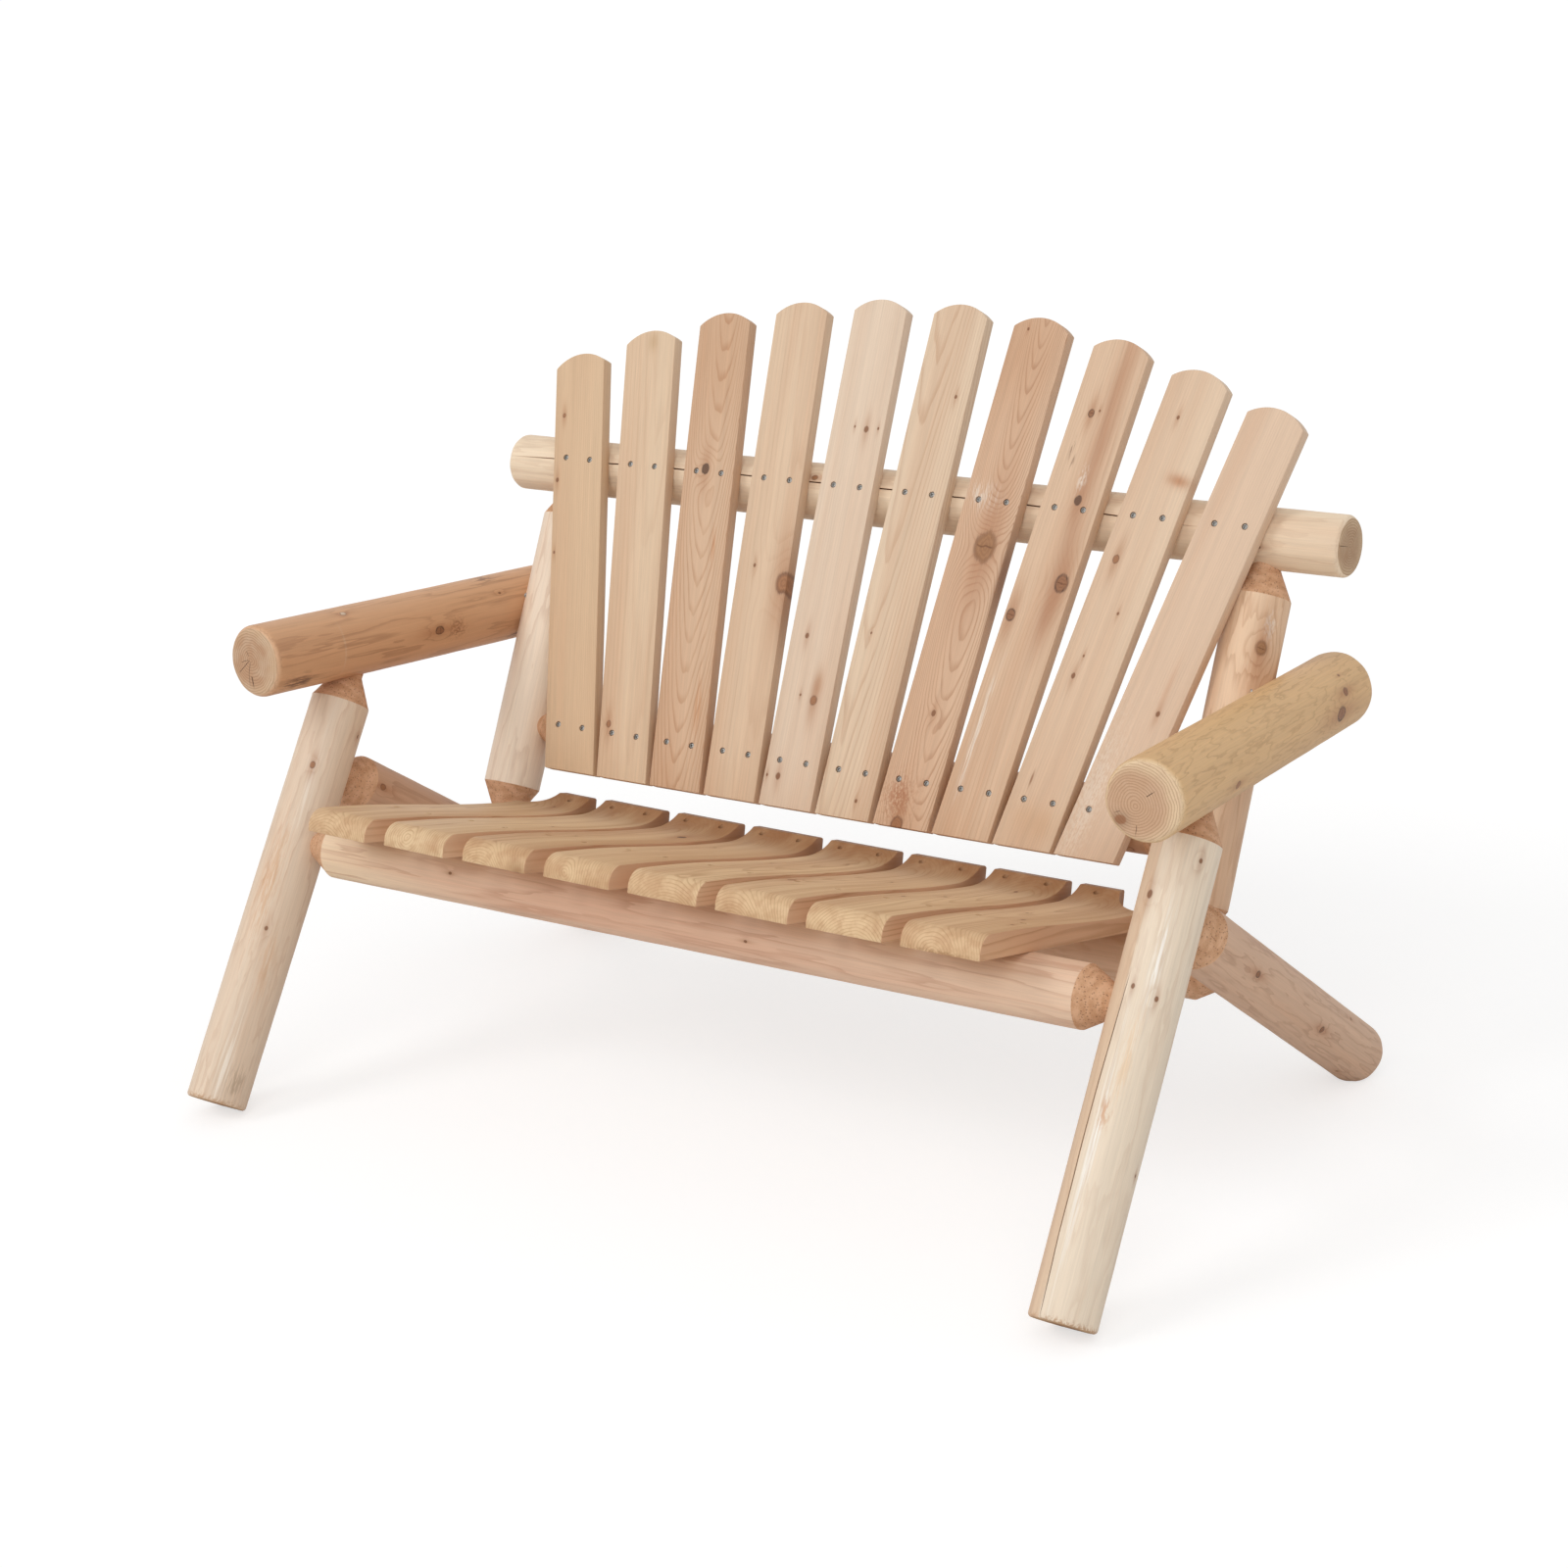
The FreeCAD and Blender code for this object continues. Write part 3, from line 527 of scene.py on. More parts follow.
def makeLog(name, log, number):
    rows = logRows(log)
    columns = logColumns(log)
    seed = number * 3.7
    shape = bmesh.new()
    split = shape.verts.layers.float.new("split")

    def rough(x, y, z, across, along, shift):
        return noise.noise(Vector((x * across, y * across, z * along + shift)))

    rings = []
    for radius, height, kind in rows:
        if radius == 0:
            rings.append([shape.verts.new((0, 0, height * mm))])
            continue
        ring = []
        for angle, crack, side in columns:
            opened, sway = crackState(crack, height, seed) if crack else (0.0, 0.0)
            x, y = cos(radians(angle + sway)), sin(radians(angle + sway))
            reach = radius
            if kind == skin:
                reach -= turning["flatDepth"] * (0.5 + rough(x, y, height, 2.1, 0.0022, seed))
                reach += turning["waves"] * rough(x, y, height, 3.5, 0.02, -seed)
                reach -= turning["crackDepth"] * opened * (1 - abs(side)) ** 0.5
            if kind == cone and radius > turning["tenonRadius"]:
                reach -= turning["coneRough"] * abs(rough(x, y, height, 9, 0.12, seed))
            vert = shape.verts.new((x * reach * mm, y * reach * mm, height * mm))
            vert[split] = opened * (1 - abs(side)) if kind == skin or radius > log["radius"] * 0.8 else 0.0
            ring.append(vert)
        rings.append(ring)
    for index, (lower, upper) in enumerate(zip(rings, rings[1:])):
        count = max(len(lower), len(upper))
        for step in range(count):
            after = (step + 1) % count
            if len(lower) == 1:
                corners = (lower[0], upper[after], upper[step])
            elif len(upper) == 1:
                corners = (upper[0], lower[step], lower[after])
            else:
                corners = (lower[step], lower[after], upper[after], upper[step])
            face = shape.faces.new(corners)
            face.material_index = rows[index if index < len(rows) / 2 else index + 1][2]
            face.smooth = True
    return toMesh(shape, name)


def giveGrain(mesh, order, mark):
    # Keeps each point's place in the wood as an attribute; order names the axes across, through and along.
    mesh.attributes.new("grain", "FLOAT_VECTOR", "POINT")
    mesh.attributes.new("mark", "FLOAT", "POINT")
    inWood = [vertex.co[axis] for vertex in mesh.vertices for axis in order]
    mesh.attributes["grain"].data.foreach_set("vector", inWood)
    mesh.attributes["mark"].data.foreach_set("value", [mark] * len(mesh.vertices))


def seatPiece(mesh, name, place, sharp):
    # Puts a mesh made in its own frame in its place on the bench.
    mesh.transform(place)
    for vertex in mesh.vertices:
        vertex.co.z = max(vertex.co.z, 0.0)      # the level flat on each foot
    mesh.set_sharp_from_angle(angle=radians(sharp))
    finishPiece(name + "_wood", mesh, name)


def frontPlace(side, depth=0, height=0):
    return legFrame @ move(side * halfLegs, depth, height)


def armPlace(side):
    return frontPlace(side, 0, stance["armHeight"]) @ turn("Z", side * 6.2) @ turn("X", stance["armDrop"] - 90)


def rearLegPlace(side):
    depth = frontLegRadius + coneLength(rearLegRadius) - seating
    return frontPlace(side, depth, stance["rearLegHeight"]) @ turn("Z", side * 2.1) @ turn("X", -91.1)


def railPlace(base, depth, height):
    return base @ move(0, depth, height) @ turn("Y", 90)


def rail(shape, reach, ease=0):
    return {"radius": railRadius, "low": (shape, -reach, ease), "high": (shape, reach, ease)}


# the stock that pairs are turned from: ends as shape, place along the log and eased radius
seating = turning["seating"]
legTop = stance["armHeight"] - armRadius / cos(radians(stance["armDrop"])) - coneLength(frontLegRadius) + seating
frontLeg = {"radius": frontLegRadius, "low": ("eased", 0, 5), "high": ("cone", legTop, 0)}
arm = {"radius": armRadius, "low": ("eased", -205.6, 9), "high": ("eased", 471, 16)}
rearLeg = {"radius": rearLegRadius, "low": ("cone", 0, 0), "high": ("eased", 639.9, 18)}
backPost = {
    "radius": postRadius,
    "low": ("cone", railRadius + coneLength(postRadius) - seating, 0),
    "high": ("cone", stance["topRail"] - railRadius - coneLength(postRadius) + seating, 0),
}
frontRailEnd = halfLegs - frontLegRadius - coneLength(railRadius) + seating
lowerRailEnd = halfPosts - postRadius - coneLength(railRadius) + seating
rearRailEnd = 608.0
# a zone of a look is its place, size, colour, strength and the flecks' factor along the grain (0 where it is soft)
logs = {
    "front_leg_left": {
        **frontLeg, "place": frontPlace(-1),
        "look": {
            "light": (227, 205, 181), "heart": (206, 168, 138), "heartStrength": 0.5, "pith": (4, -3),
            "ripple": 8.0, "ringStrength": 0.24, "polish": 0.46,
            "zones": (
                ((26, -35, 60), (9, 9, 90), chalk, 0.8, 0.03),
                ((22, -38, 480), (9, 9, 90), chalk, 0.6, 0.03),
                ((8, -43, 330), (18, 14, 100), (206, 156, 112), 0.6, 0.1),
                ((36, -25, 210), (12, 14, 70), (206, 158, 116), 0.5, 0.08),
                ((40, -16, 34), (16, 16, 26), (168, 144, 120), 0.6, 0.12),
                ((0, 0, 0), (200, 200, 7), (190, 146, 106), 0.7, 0.5),
            ),
        },
        "knots": ((-63, 506, 4.0, "round"), (-55, 259, 3.0, "pin"), (15, 568, 2.4, "pin")),
    },
    "front_leg_right": {
        **frontLeg, "place": frontPlace(1),
        "look": {
            "light": (235, 217, 194), "heart": (226, 196, 168), "heartStrength": 0.5, "pith": (-5, 2),
            "ripple": 6.0, "ringStrength": 0.16, "polish": 0.46,
            "edge": {"way": (-1, 0), "from": 12.5, "sway": 3.0, "soft": 1.6, "colour": (216, 178, 142),
                     "strength": 0.55},
            "zones": (
                ((20, -38, 460), (8, 8, 70), (250, 245, 236), 0.9, 0.04),
                ((0, -44, 200), (7, 7, 150), (250, 245, 236), 0.8, 0.025),
                ((14, -41, 330), (10, 9, 60), (226, 190, 150), 0.5, 0.1),
                ((4, -44, 258), (9, 9, 20), (206, 150, 104), 0.7, 0.2),
                ((0, 0, 0), (200, 200, 6), (180, 134, 92), 0.8, 0.5),
            ),
        },
        "knots": ((-35, 585, 3.0, "pin"), (-107, 531, 4.5, "pin"), (-92, 415, 2.8, "pin"), (-49, 406, 2.8, "pin"),
                  (3, 195, 2.0, "pin")),
        "cracks": ({"angle": -104, "bow": -7, "width": 1.3, "sway": 1.5, "span": (-12, 442)},),
    },
    "arm_left": {
        **arm, "place": armPlace(-1),
        "look": {
            "light": (214, 166, 126), "heart": (196, 144, 106), "late": (130, 82, 54), "pith": (3, 4),
            "ripple": 14.0, "flow": 0.08, "ringWidth": 4.4, "ringStrength": 0.36, "heartStrength": 0.6, "polish": 0.5,
            "zones": (
                ((9, -52, 248), (16, 9, 24), (88, 56, 38), 0.8, 0.14),
                ((39, 36, -159), (15, 15, 30), (84, 52, 36), 0.8, 0.16),
                ((34, 40, 289), (13, 13, 16), (92, 58, 38), 0.8, 0.16),
                ((50, 0, -76), (26, 34, 1.5), (214, 180, 148), 0.6, 0),
                ((0, 0, -206), (200, 200, 4.5), (222, 182, 146), 0.7, 0),
                ((52, 4, 132), (24, 20, 44), (206, 160, 118), 0.4, 0),
                ((52, 5, 150), (14, 15, 17), (140, 92, 60), 0.8, 0.7),
            ),
        },
        "knots": ((-63, -51, 4.3, "pale"), (-36, 252, 2.2, "pin"), (4, 113, 6.5, "torn")),
        "end": {
            "seed": 21, "pith": (-7, 0), "light": (212, 178, 144), "heart": (194, 154, 122), "cloud": (216, 190, 162),
            "ringStrength": 0.4, "ringWidth": 4.0, "heartSize": 42.0,
            "cracks": ((100, 3, 42, 0.5), (146, 2, 40, 0.6), (88, 22, 44, 1.4), (170, 4, 24, 0.4), (240, 6, 20, 0.4)),
        },
    },
    "arm_right": {
        **arm, "place": armPlace(1),
        "look": {
            "light": (221, 181, 131), "heart": (200, 156, 108), "late": (152, 106, 66), "pith": (-4, 2),
            "ripple": 22.0, "flow": 0.16, "ringWidth": 3.8, "ringStrength": 0.36, "polish": 0.5,
            "zones": (((0, 0, -206), (200, 200, 5), (232, 208, 174), 0.8, 0),),
        },
        "knots": ((-27, 364, 5.5, "torn"), (1, 339, 10.5, "torn"), (14, -27, 5.0, "round"), (-53, 373, 2.2, "pin")),
        "end": {
            "seed": 22, "pith": (-11, 6), "light": (232, 204, 168), "heart": (206, 168, 136),
            "cloud": (214, 180, 150), "late": (156, 112, 80), "ringStrength": 0.45,
            "ringWidth": 3.6, "heartSize": 46.0, "knot": (-28, 27, 7.0),
            "cracks": ((-40, 19, 38, 0.7), (85, 24, 45, 0.5), (150, 20, 34, 0.4)),
        },
    },
    "rear_leg_left": {
        **rearLeg, "place": rearLegPlace(-1),
        "look": {"light": (208, 168, 138), "late": (150, 104, 74), "pith": (3, 3), "ripple": 10.0,
                 "flow": 0.1, "ringStrength": 0.4},
        "knots": ((-6, 14, 5.0, "round"),),
    },
    "rear_leg_right": {
        **rearLeg, "place": rearLegPlace(1),
        "look": {"light": (214, 178, 150), "late": (150, 106, 78), "pith": (-2, 4), "ripple": 16.0,
                 "flow": 0.12, "ringWidth": 4.4, "ringStrength": 0.38},
        "knots": ((13, 125, 5.0, "torn"), (25, 391, 5.0, "torn"), (-29, 488, 2.6, "pin"), (78, 560, 3.0, "pin")),
    },
    "back_post_left": {
        **backPost, "place": backFrame @ move(-halfPosts, 0, 0),
        # painted light: the post's colour is paler than its wood, to brighten it where the arm shades it
        "look": {"light": (246, 228, 206), "pith": (3, -5), "ripple": 6.0, "ringStrength": 0.22,
                 "polish": 0.46},
    },
    "back_post_right": {
        **backPost, "place": backFrame @ move(halfPosts, 0, 0),
        "look": {
            "light": (234, 202, 170), "pith": (-3, 3), "ripple": 8.0, "flow": 0.1, "ringStrength": 0.38,
            "zones": (
                ((35, -25, 462), (9, 9, 20), chalk, 0.85, 0.3),
                ((24, -36, 400), (14, 14, 50), (206, 158, 120), 0.35, 0.1),
            ),
        },
        "knots": ((-43, 431, 8.5, "oval"),),
    },
    "front_seat_rail": {
        **rail("cone", frontRailEnd), "place": railPlace(legFrame, *stance["frontRail"]),
        "look": {
            "light": (232, 200, 172), "heart": (218, 168, 138), "heartStrength": 0.6,
            "late": (178, 122, 92), "pith": (4, 3), "ripple": 12.0, "flow": 0.07, "ringWidth": 4.4,
            "ringStrength": 0.42,
            "zones": (
                ((0, 0, -640), (200, 200, 170), (238, 212, 178), 0.8, 0),
                ((0, 0, -60), (200, 200, 330), (218, 166, 136), 0.35, 0),
            ),
        },
        "knots": ((-78, -376, 2.2, "pin"), (-60, 130, 2.0, "pin")),
    },
    "rear_seat_rail": {
        **rail("cone", rearRailEnd), "place": railPlace(legFrame, *stance["rearRail"]),
        "look": {"light": (210, 172, 142), "pith": (-4, 3), "ripple": 4.0},
    },
    "lower_back_rail": {
        **rail("cone", lowerRailEnd), "place": railPlace(backFrame, 0, stance["lowerRail"]),
        "look": {"light": (206, 166, 134), "pith": (4, -3), "ripple": 4.0},
        "knots": ((-19, 477, 6.5, "ring"),),
    },
    "top_back_rail": {
        **rail("eased", halfLegs, 8), "place": railPlace(backFrame, 0, stance["topRail"]),
        "look": {"light": (240, 218, 190), "pith": (-3, 4), "ripple": 7.0, "ringStrength": 0.18},
        "knots": ((-107, -132, 4.5, "round"), (-61, 585, 3.0, "dark"), (-120, 150, 3.0, "pin")),
        "cracks": ({"angle": -86, "bow": -12, "width": 1.5, "sway": 2.0, "span": (-720, 520)},),
        "end": {"seed": 23, "light": (206, 178, 146), "heart": (190, 160, 130), "heartSize": 30.0,
                "ringStrength": 0.45, "ringWidth": 3.6, "cracks": ()},
    },
}
# pit is painted shade in the cone's pits
coneLook = {"light": (222, 176, 140), "dark": (198, 148, 110), "fibre": (232, 194, 160), "pit": (112, 70, 46)}
plainEnd = {
    "seed": 5, "pith": (3, -2), "ringWidth": 2.2, "ringStrength": 0.4, "heartSize": 28.0,
    "light": (206, 172, 134), "heart": (184, 142, 106), "cloud": (172, 134, 102),
    # crack is painted shade in the end cracks, and also the real dark wood round an end knot
    "late": (140, 98, 66), "crack": (70, 46, 32), "cracks": ((200, 2, 36, 0.7), (75, 5, 30, 0.5)),
    "knot": None, "knotTone": (150, 98, 64),
}


def makeLogs():
    carved = coneMaterial("carvedCone", coneLook)
    plain = endMaterial("sawnEnd", plainEnd)
    for number, (name, log) in enumerate(logs.items()):
        look = {**log["look"], "seed": number + 1, "split": "cracks" in log}
        mesh = makeLog(name + "_wood", log, number + 1)
        mesh.materials.append(woodMaterial(name + "_skin", look, logKnots(log.get("knots", ()), log["radius"])))
        mesh.materials.append(carved)
        mesh.materials.append(endMaterial(name + "_end", {**plainEnd, **log["end"]}) if "end" in log else plain)
        giveGrain(mesh, (0, 1, 2), number / len(logs))
        seatPiece(mesh, name, log["place"], 30)
    print("logs turned:", len(logs))


# ---- Geometry Nodes
def openTree(name, inputs):
    # A tree that takes a shape and the named inputs, and gives a shape.
    tree = bpy.data.node_groups.new(name, "GeometryNodeTree")
    for label, kind in {"Geometry": "Geometry", **inputs}.items():
        tree.interface.new_socket(label, in_out="INPUT", socket_type="NodeSocket" + kind)
    tree.interface.new_socket("Geometry", in_out="OUTPUT", socket_type="NodeSocketGeometry")
    bench = Bench(tree)
    given = bench.node("NodeGroupInput").socket.node.outputs
    return bench, {socket.name: Wire(bench, socket) for socket in given}


def closeTree(bench, shape, material):
    real = bench.node("GeometryNodeRealizeInstances", None, (shape,))
    painted = bench.node("GeometryNodeSetMaterial", None, {"Geometry": real, "Material": material})
    bench.node("NodeGroupOutput", None, (painted,))
    return bench.tree


def shapeWith(thing, name, kind, **settings):
    modifier = thing.modifiers.new(name, kind)
    for key, value in settings.items():
        setattr(modifier, key, value)
    return modifier


def growTree(thing, tree, values):
    # Puts a tree on an object, with the values of its named inputs.
    modifier = shapeWith(thing, tree.name, "NODES", node_group=tree)
    for item in tree.interface.items_tree:
        if item.in_out == "INPUT" and item.name in values:
            modifier[item.identifier] = values[item.name]


# ---- sawn boards
def boardTree():
    # Fills a flat outline, gives it a thickness and names its wood.
    bench, given = openTree("sawBoard", {"Thickness": "Float", "Wood": "Material"})
    face = bench.node("GeometryNodeFillCurve", {"mode": "NGONS"}, {"Curve": given["Geometry"]})
    rise = bench.node("ShaderNodeCombineXYZ", None, {"Z": given["Thickness"]})
    body = bench.node("GeometryNodeExtrudeMesh", None,
                      {"Mesh": face, "Offset": rise, "Offset Scale": 1.0, "Individual": False})
    under = bench.node("GeometryNodeFlipFaces", None, (face,))
    both = bench.node("GeometryNodeJoinGeometry", None, ([body, under],))
    weld = bench.node("GeometryNodeMergeByDistance", None, {"Geometry": both, "Distance": 0.00001})
    return closeTree(bench, weld, given["Wood"])


def drill(cuts):
    # One mesh with a straight cutter for each well or notch, from (place, depth, radius, sides).
    shape = bmesh.new()
    for place, depth, radius, sides in cuts:
        bmesh.ops.create_cone(shape, cap_ends=True, segments=sides, radius1=radius * mm, radius2=radius * mm,
                              depth=depth * mm, matrix=place)
    return toMesh(shape, "drill")


def sawBoard(tree, name, points, thickness, wood, edge, wells):
    # The outline becomes a board with broken edges and screw wells, as one plain mesh.
    curve = bpy.data.curves.new(name + "_line", "CURVE")
    curve.dimensions = "2D"
    spline = curve.splines.new("POLY")
    spline.points.add(len(points) - 1)
    for point, (x, y) in zip(spline.points, points):
        point.co = (x * mm, y * mm, 0, 1)
    spline.use_cyclic_u = True
    line = putInScene(name + "_line", curve)
    growTree(line, tree, {"Thickness": thickness * mm, "Wood": wood})
    blank = putInScene(name + "_blank", plainMesh(line))
    cutter = putInScene(name + "_drill", wells)
    shapeWith(blank, "edges", "BEVEL", width=edge * mm, segments=2, limit_method="ANGLE", angle_limit=radians(40))
    shapeWith(blank, "wells", "BOOLEAN", operation="DIFFERENCE", solver="EXACT", object=cutter)
    mesh = plainMesh(blank)
    mesh.materials.clear()
    mesh.materials.append(wood)
    bpy.data.objects.remove(cutter)
    return mesh


backSlats = {
    "width": 88.9, "thickness": 20.0, "pitch": 97.2, "fan": 2.98, "bottom": 112.6, "arch": 17.0, "archSteps": 18,
    "lengths": (652.0, 690.0, 720.0, 740.0, 750.0, 750.0, 740.0, 720.0, 690.0, 652.0),
    "screwHeights": (stance["lowerRail"], stance["topRail"]), "screwSpacing": 45.0,
    "wellDepth": 3.6, "wellOver": 5.0, "wellRadius": 4.7, "edge": 1.1,
}
slatLooks = [
    {"light": (217, 185, 150), "pith": (-140, -60), "ringStrength": 0.14},
    {
        "light": (222, 194, 163), "pith": (20, -90), "ringStrength": 0.14,
        "zones": (((5, 20, 672), (8, 30, 15), (184, 150, 110), 0.5, 0),),
    },
    {
        "light": (213, 179, 148), "pith": (-2, -58), "slope": (0.01, 0.05), "ringStrength": 0.5, "ringWidth": 2.3,
        "zones": (
            ((22, 20, 354), (6, 30, 46), (192, 132, 88), 0.7, 0.03),
            ((26, 20, 120), (7, 30, 50), (196, 138, 94), 0.6, 0.03),
            ((0, 20, 650), (80, 60, 120), (196, 152, 116), 0.55, 0),
        ),
    },
    {
        "light": (222, 193, 163), "pith": (30, -100), "ringStrength": 0.14,
        "zones": (((50, 8, 280), (9, 22, 56), (128, 84, 56), 0.75, 0),),
    },
    {
        "light": (227, 204, 180), "pith": (-160, -80), "ringStrength": 0.1,
        "zones": (((17, 20, 182), (8, 30, 18), (188, 144, 110), 0.6, 0),),
    },
    {"light": (225, 200, 172), "pith": (-30, -50), "slope": (0.01, 0.03), "ringStrength": 0.32, "ringWidth": 3.4},
    {
        "light": (218, 184, 154), "pith": (14, -42), "slope": (-0.01, 0.045), "ringStrength": 0.55, "ringWidth": 1.8,
        "late": (156, 102, 64),
        "zones": (
            ((-15, 20, 478), (30, 30, 20), chalk, 0.7, 0.14),
            ((-14, 20, 40), (26, 30, 34), (168, 106, 70), 0.8, 0.6),
            ((46, 12, 372), (5, 22, 60), (120, 76, 50), 0.7, 0),
            ((-30, 20, 690), (62, 40, 100), (194, 148, 112), 0.65, 0),
        ),
    },
    {
        "light": (219, 187, 157), "pith": (60, -60), "ringStrength": 0.2, "heartStrength": 0.5,
        "zones": (
            ((16, 20, 580), (15, 30, 220), (180, 132, 100), 0.75, 0),
            ((-25, 20, 560), (2.5, 30, 14), (104, 66, 44), 0.9, 0.1),
            ((-18, 20, 540), (2, 30, 9), (104, 66, 44), 0.9, 0.1),
            ((6, 20, 518), (6, 30, 20), chalk, 0.9, 0.25),
            ((-26, 20, 140), (5, 30, 100), chalk, 0.7, 0.05),
            ((20, 20, 330), (10, 30, 60), (176, 126, 94), 0.6, 0),
        ),
    },
    {
        "light": (225, 198, 170), "pith": (-120, -60), "ringStrength": 0.12,
        "zones": (
            ((26, 20, 538), (16, 30, 9), (180, 122, 82), 0.9, 0),
            ((-22, 20, 93), (1.6, 30, 10), (140, 92, 60), 0.8, 0),
            ((4, 20, 40), (36, 30, 24), (206, 166, 128), 0.5, 0),
        ),
    },
    {
        "light": (223, 194, 167), "pith": (-150, -40), "ringStrength": 0.12,
        "zones": (
            ((14, 20, 252), (4, 30, 36), (196, 150, 118), 0.5, 0),
            ((-28, 20, 80), (24, 30, 110), chalk, 0.4, 0.5),
        ),
    },
]
slatKnots = [
    ((-27, 558, 3.0, "round"), (-37, 457, 3.0, "pin"), (-39, 343, 2.0, "pin")),
    ((-29, 86, 4.6, "round"),),
    ((-6, 481, 6.5, "dark"),),
    ((40, 319, 14.0, "round"), (-15, 344, 2.6, "pin")),
    ((15, 557, 4.0, "pin"), (-5, 560, 1.6, "pin"), (35, 559, 1.6, "pin"), (-17, 250, 3.4, "pin"),
     (15, 158, 6.0, "round"), (-9, 164, 1.6, "pin"), (-20, 44, 4.0, "pin"), (-39, 44, 1.8, "pin")),
    ((24, 616, 2.4, "pin"), (-22, 265, 1.6, "pin"), (18, 27, 2.4, "pin")),
    ((-20, 721, 1.8, "pin"), (9, 408, 17.0, "oval"), (3, 166, 3.6, "pin"), (-6, 3, 9.0, "round")),
    ((-14, 611, 4.6, "torn"), (-2, 617, 1.6, "pin"), (10, 490, 5.4, "dark"), (27, 374, 10.5, "torn"),
     (-34, 314, 7.0, "torn")),
    ((-11, 620, 2.6, "pin"), (-22, 412, 5.0, "round"), (11, 343, 2.0, "pin"), (-15, 274, 1.6, "pin"),
     (-19, 244, 3.4, "pin")),
    ((16, 217, 3.2, "pin"),),
]


def slatOutline(length, lean):
    half, rise, steps = backSlats["width"] / 2, backSlats["arch"], backSlats["archSteps"]
    skew = half * tan(radians(lean))
    points = [(-half, -skew), (half, skew)]
    radius = (half * half + rise * rise) / (2 * rise)
    sweep = asin(half / radius)
    for step in range(steps + 1):
        angle = sweep - 2 * sweep * step / steps
        points.append((radius * sin(angle), length - radius + radius * cos(angle)))
    return points


def slatFan(number):
    # How far a slat stands from the middle, and how far it leans.
    middle = number - (len(backSlats["lengths"]) - 1) / 2
    return middle * backSlats["pitch"], middle * backSlats["fan"]


def makeBackSlats(tree):
    size = backSlats
    thick = size["thickness"]
    low, high = thick - size["wellDepth"], thick + size["wellOver"]
    for number, length in enumerate(size["lengths"]):
        foot, lean = slatFan(number)
        name = "back_slat_%02d" % (number + 1)
        look = dict(slatLooks[number], seed=20 + number)
        wood = woodMaterial(name + "_cedar", look, boardKnots(slatKnots[number], thick))
        wells = []
        for height in size["screwHeights"]:
            rise = height - size["bottom"]
            for side in (-1, 1):
                x = rise * tan(radians(lean)) + side * size["screwSpacing"] / 2
                c, s = cos(radians(lean)), sin(radians(lean))
                place = move(x * c - rise * s, x * s + rise * c, (low + high) / 2)
                wells.append((place, high - low, size["wellRadius"], 20))
        mesh = sawBoard(tree, name, slatOutline(length, lean), thick, wood, size["edge"], drill(wells))
        giveGrain(mesh, (0, 2, 1), number / len(size["lengths"]))
        place = backFrame @ move(foot, -railRadius, size["bottom"]) @ turn("X", 90) @ turn("Z", -lean)
        seatPiece(mesh, name, place, 25)
    print("back slats sawn:", len(size["lengths"]))


seatSlats = {
    "count": 8, "width": 116.0, "pitch": 140.0, "fan": 0.8, "shift": -14.1, "skew": -2.88,
    "under": railRadius, "nose": 127.0, "rear": 341.0, "noseTop": 32.7, "noseRadius": 24.0, "frontLevel": 43.0,
    "scoop": 23.0, "scoopAt": 235.0, "crest": 42.0, "crestLength": 13.0, "rampLength": 75.0, "rearEase": 3.0,
    "frontScrew": (33.0, 18.0, 67.4), "rearScrew": (33.0, 316.0, 70.4), "endScrew": 27.0, "notch": 56.0,
    "wellRadius": 4.7, "drillTop": 100.0, "edge": 1.8,
}
seatLook = {
    "late": (166, 116, 72), "heart": (182, 134, 94), "ringStrength": 0.5, "ringWidth": 4.2, "fibre": 0.06,
    "streaks": 0.06, "heartStrength": 0.5, "stripes": 0.4, "warmStripes": True,
    # painted shade on the sawn sides
    "sides": (57.4, (206, 156, 124), 0.6),
    # painted shade: the rear ramp is made darker, as it lies in shade
    "zones": (((0, 74, 330), (300, 60, 56), (158, 110, 74), 0.8, 0),),     # the darker rear ramp
}
boardLooks = [
    {
        "light": (222, 189, 148), "pith": (-20, 22),
        "zones": (((12, 74, 0), (8, 30, 120), (180, 134, 94), 0.5, 0),),
    },
    {"light": (225, 194, 153), "pith": (-14, 62)},
    {
        "light": (219, 185, 143), "pith": (-26, 30),
        "zones": (
            ((44, 46, -120), (16, 12, 26), (140, 96, 60), 0.6, 0),
            ((18, 74, 250), (10, 40, 30), (170, 122, 84), 0.5, 0),
        ),
    },
    {"light": (223, 190, 148), "pith": (-20, 56)},
    {
        "light": (224, 191, 149), "pith": (12, 8),
        "zones": (((44, 74, 20), (10, 30, 60), (178, 130, 92), 0.5, 0),),
    },
    {"light": (220, 186, 145), "pith": (-30, 30)},
    {"light": (224, 191, 149), "pith": (20, 18)},
    {
        "light": (220, 185, 144), "pith": (-10, 44),
        "zones": (((0, 44, -122), (60, 4, 20), (150, 106, 66), 0.6, 0.3),),
    },
]
boardKnotRows = [
    ((20, 290, 2.4, "pin"),),
    ((30, 120, 2.2, "pin"),),
    ((23, 242, 6.0, "dark"), (-20, 60, 2.0, "pin")),
    ((-26, 200, 2.4, "pin"),),
    ((-30, 150, 2.2, "pin"), (20, 262, 2.6, "pin")),
    ((-44, 20, 5.0, "round"), (10, 180, 2.2, "pin")),
    ((-14, 133, 2.8, "pin"), (8, 278, 2.8, "pin"), (-34, 60, 3.0, "pin")),
    ((15, 47, 3.2, "pin"), (34, -14, 2.6, "pin"), (-20, 120, 2.2, "pin")),
]


def easeCurve(start, end, steps, kick=False):
    # A smooth S between two points; with kick it starts flat and ends steep.
    points = []
    for step in range(1, steps + 1):
        share = step / steps
        rise = share ** 3 if kick else share * share * (3 - 2 * share)
        points.append((start[0] + (end[0] - start[0]) * share, start[1] + (end[1] - start[1]) * rise))
    return points


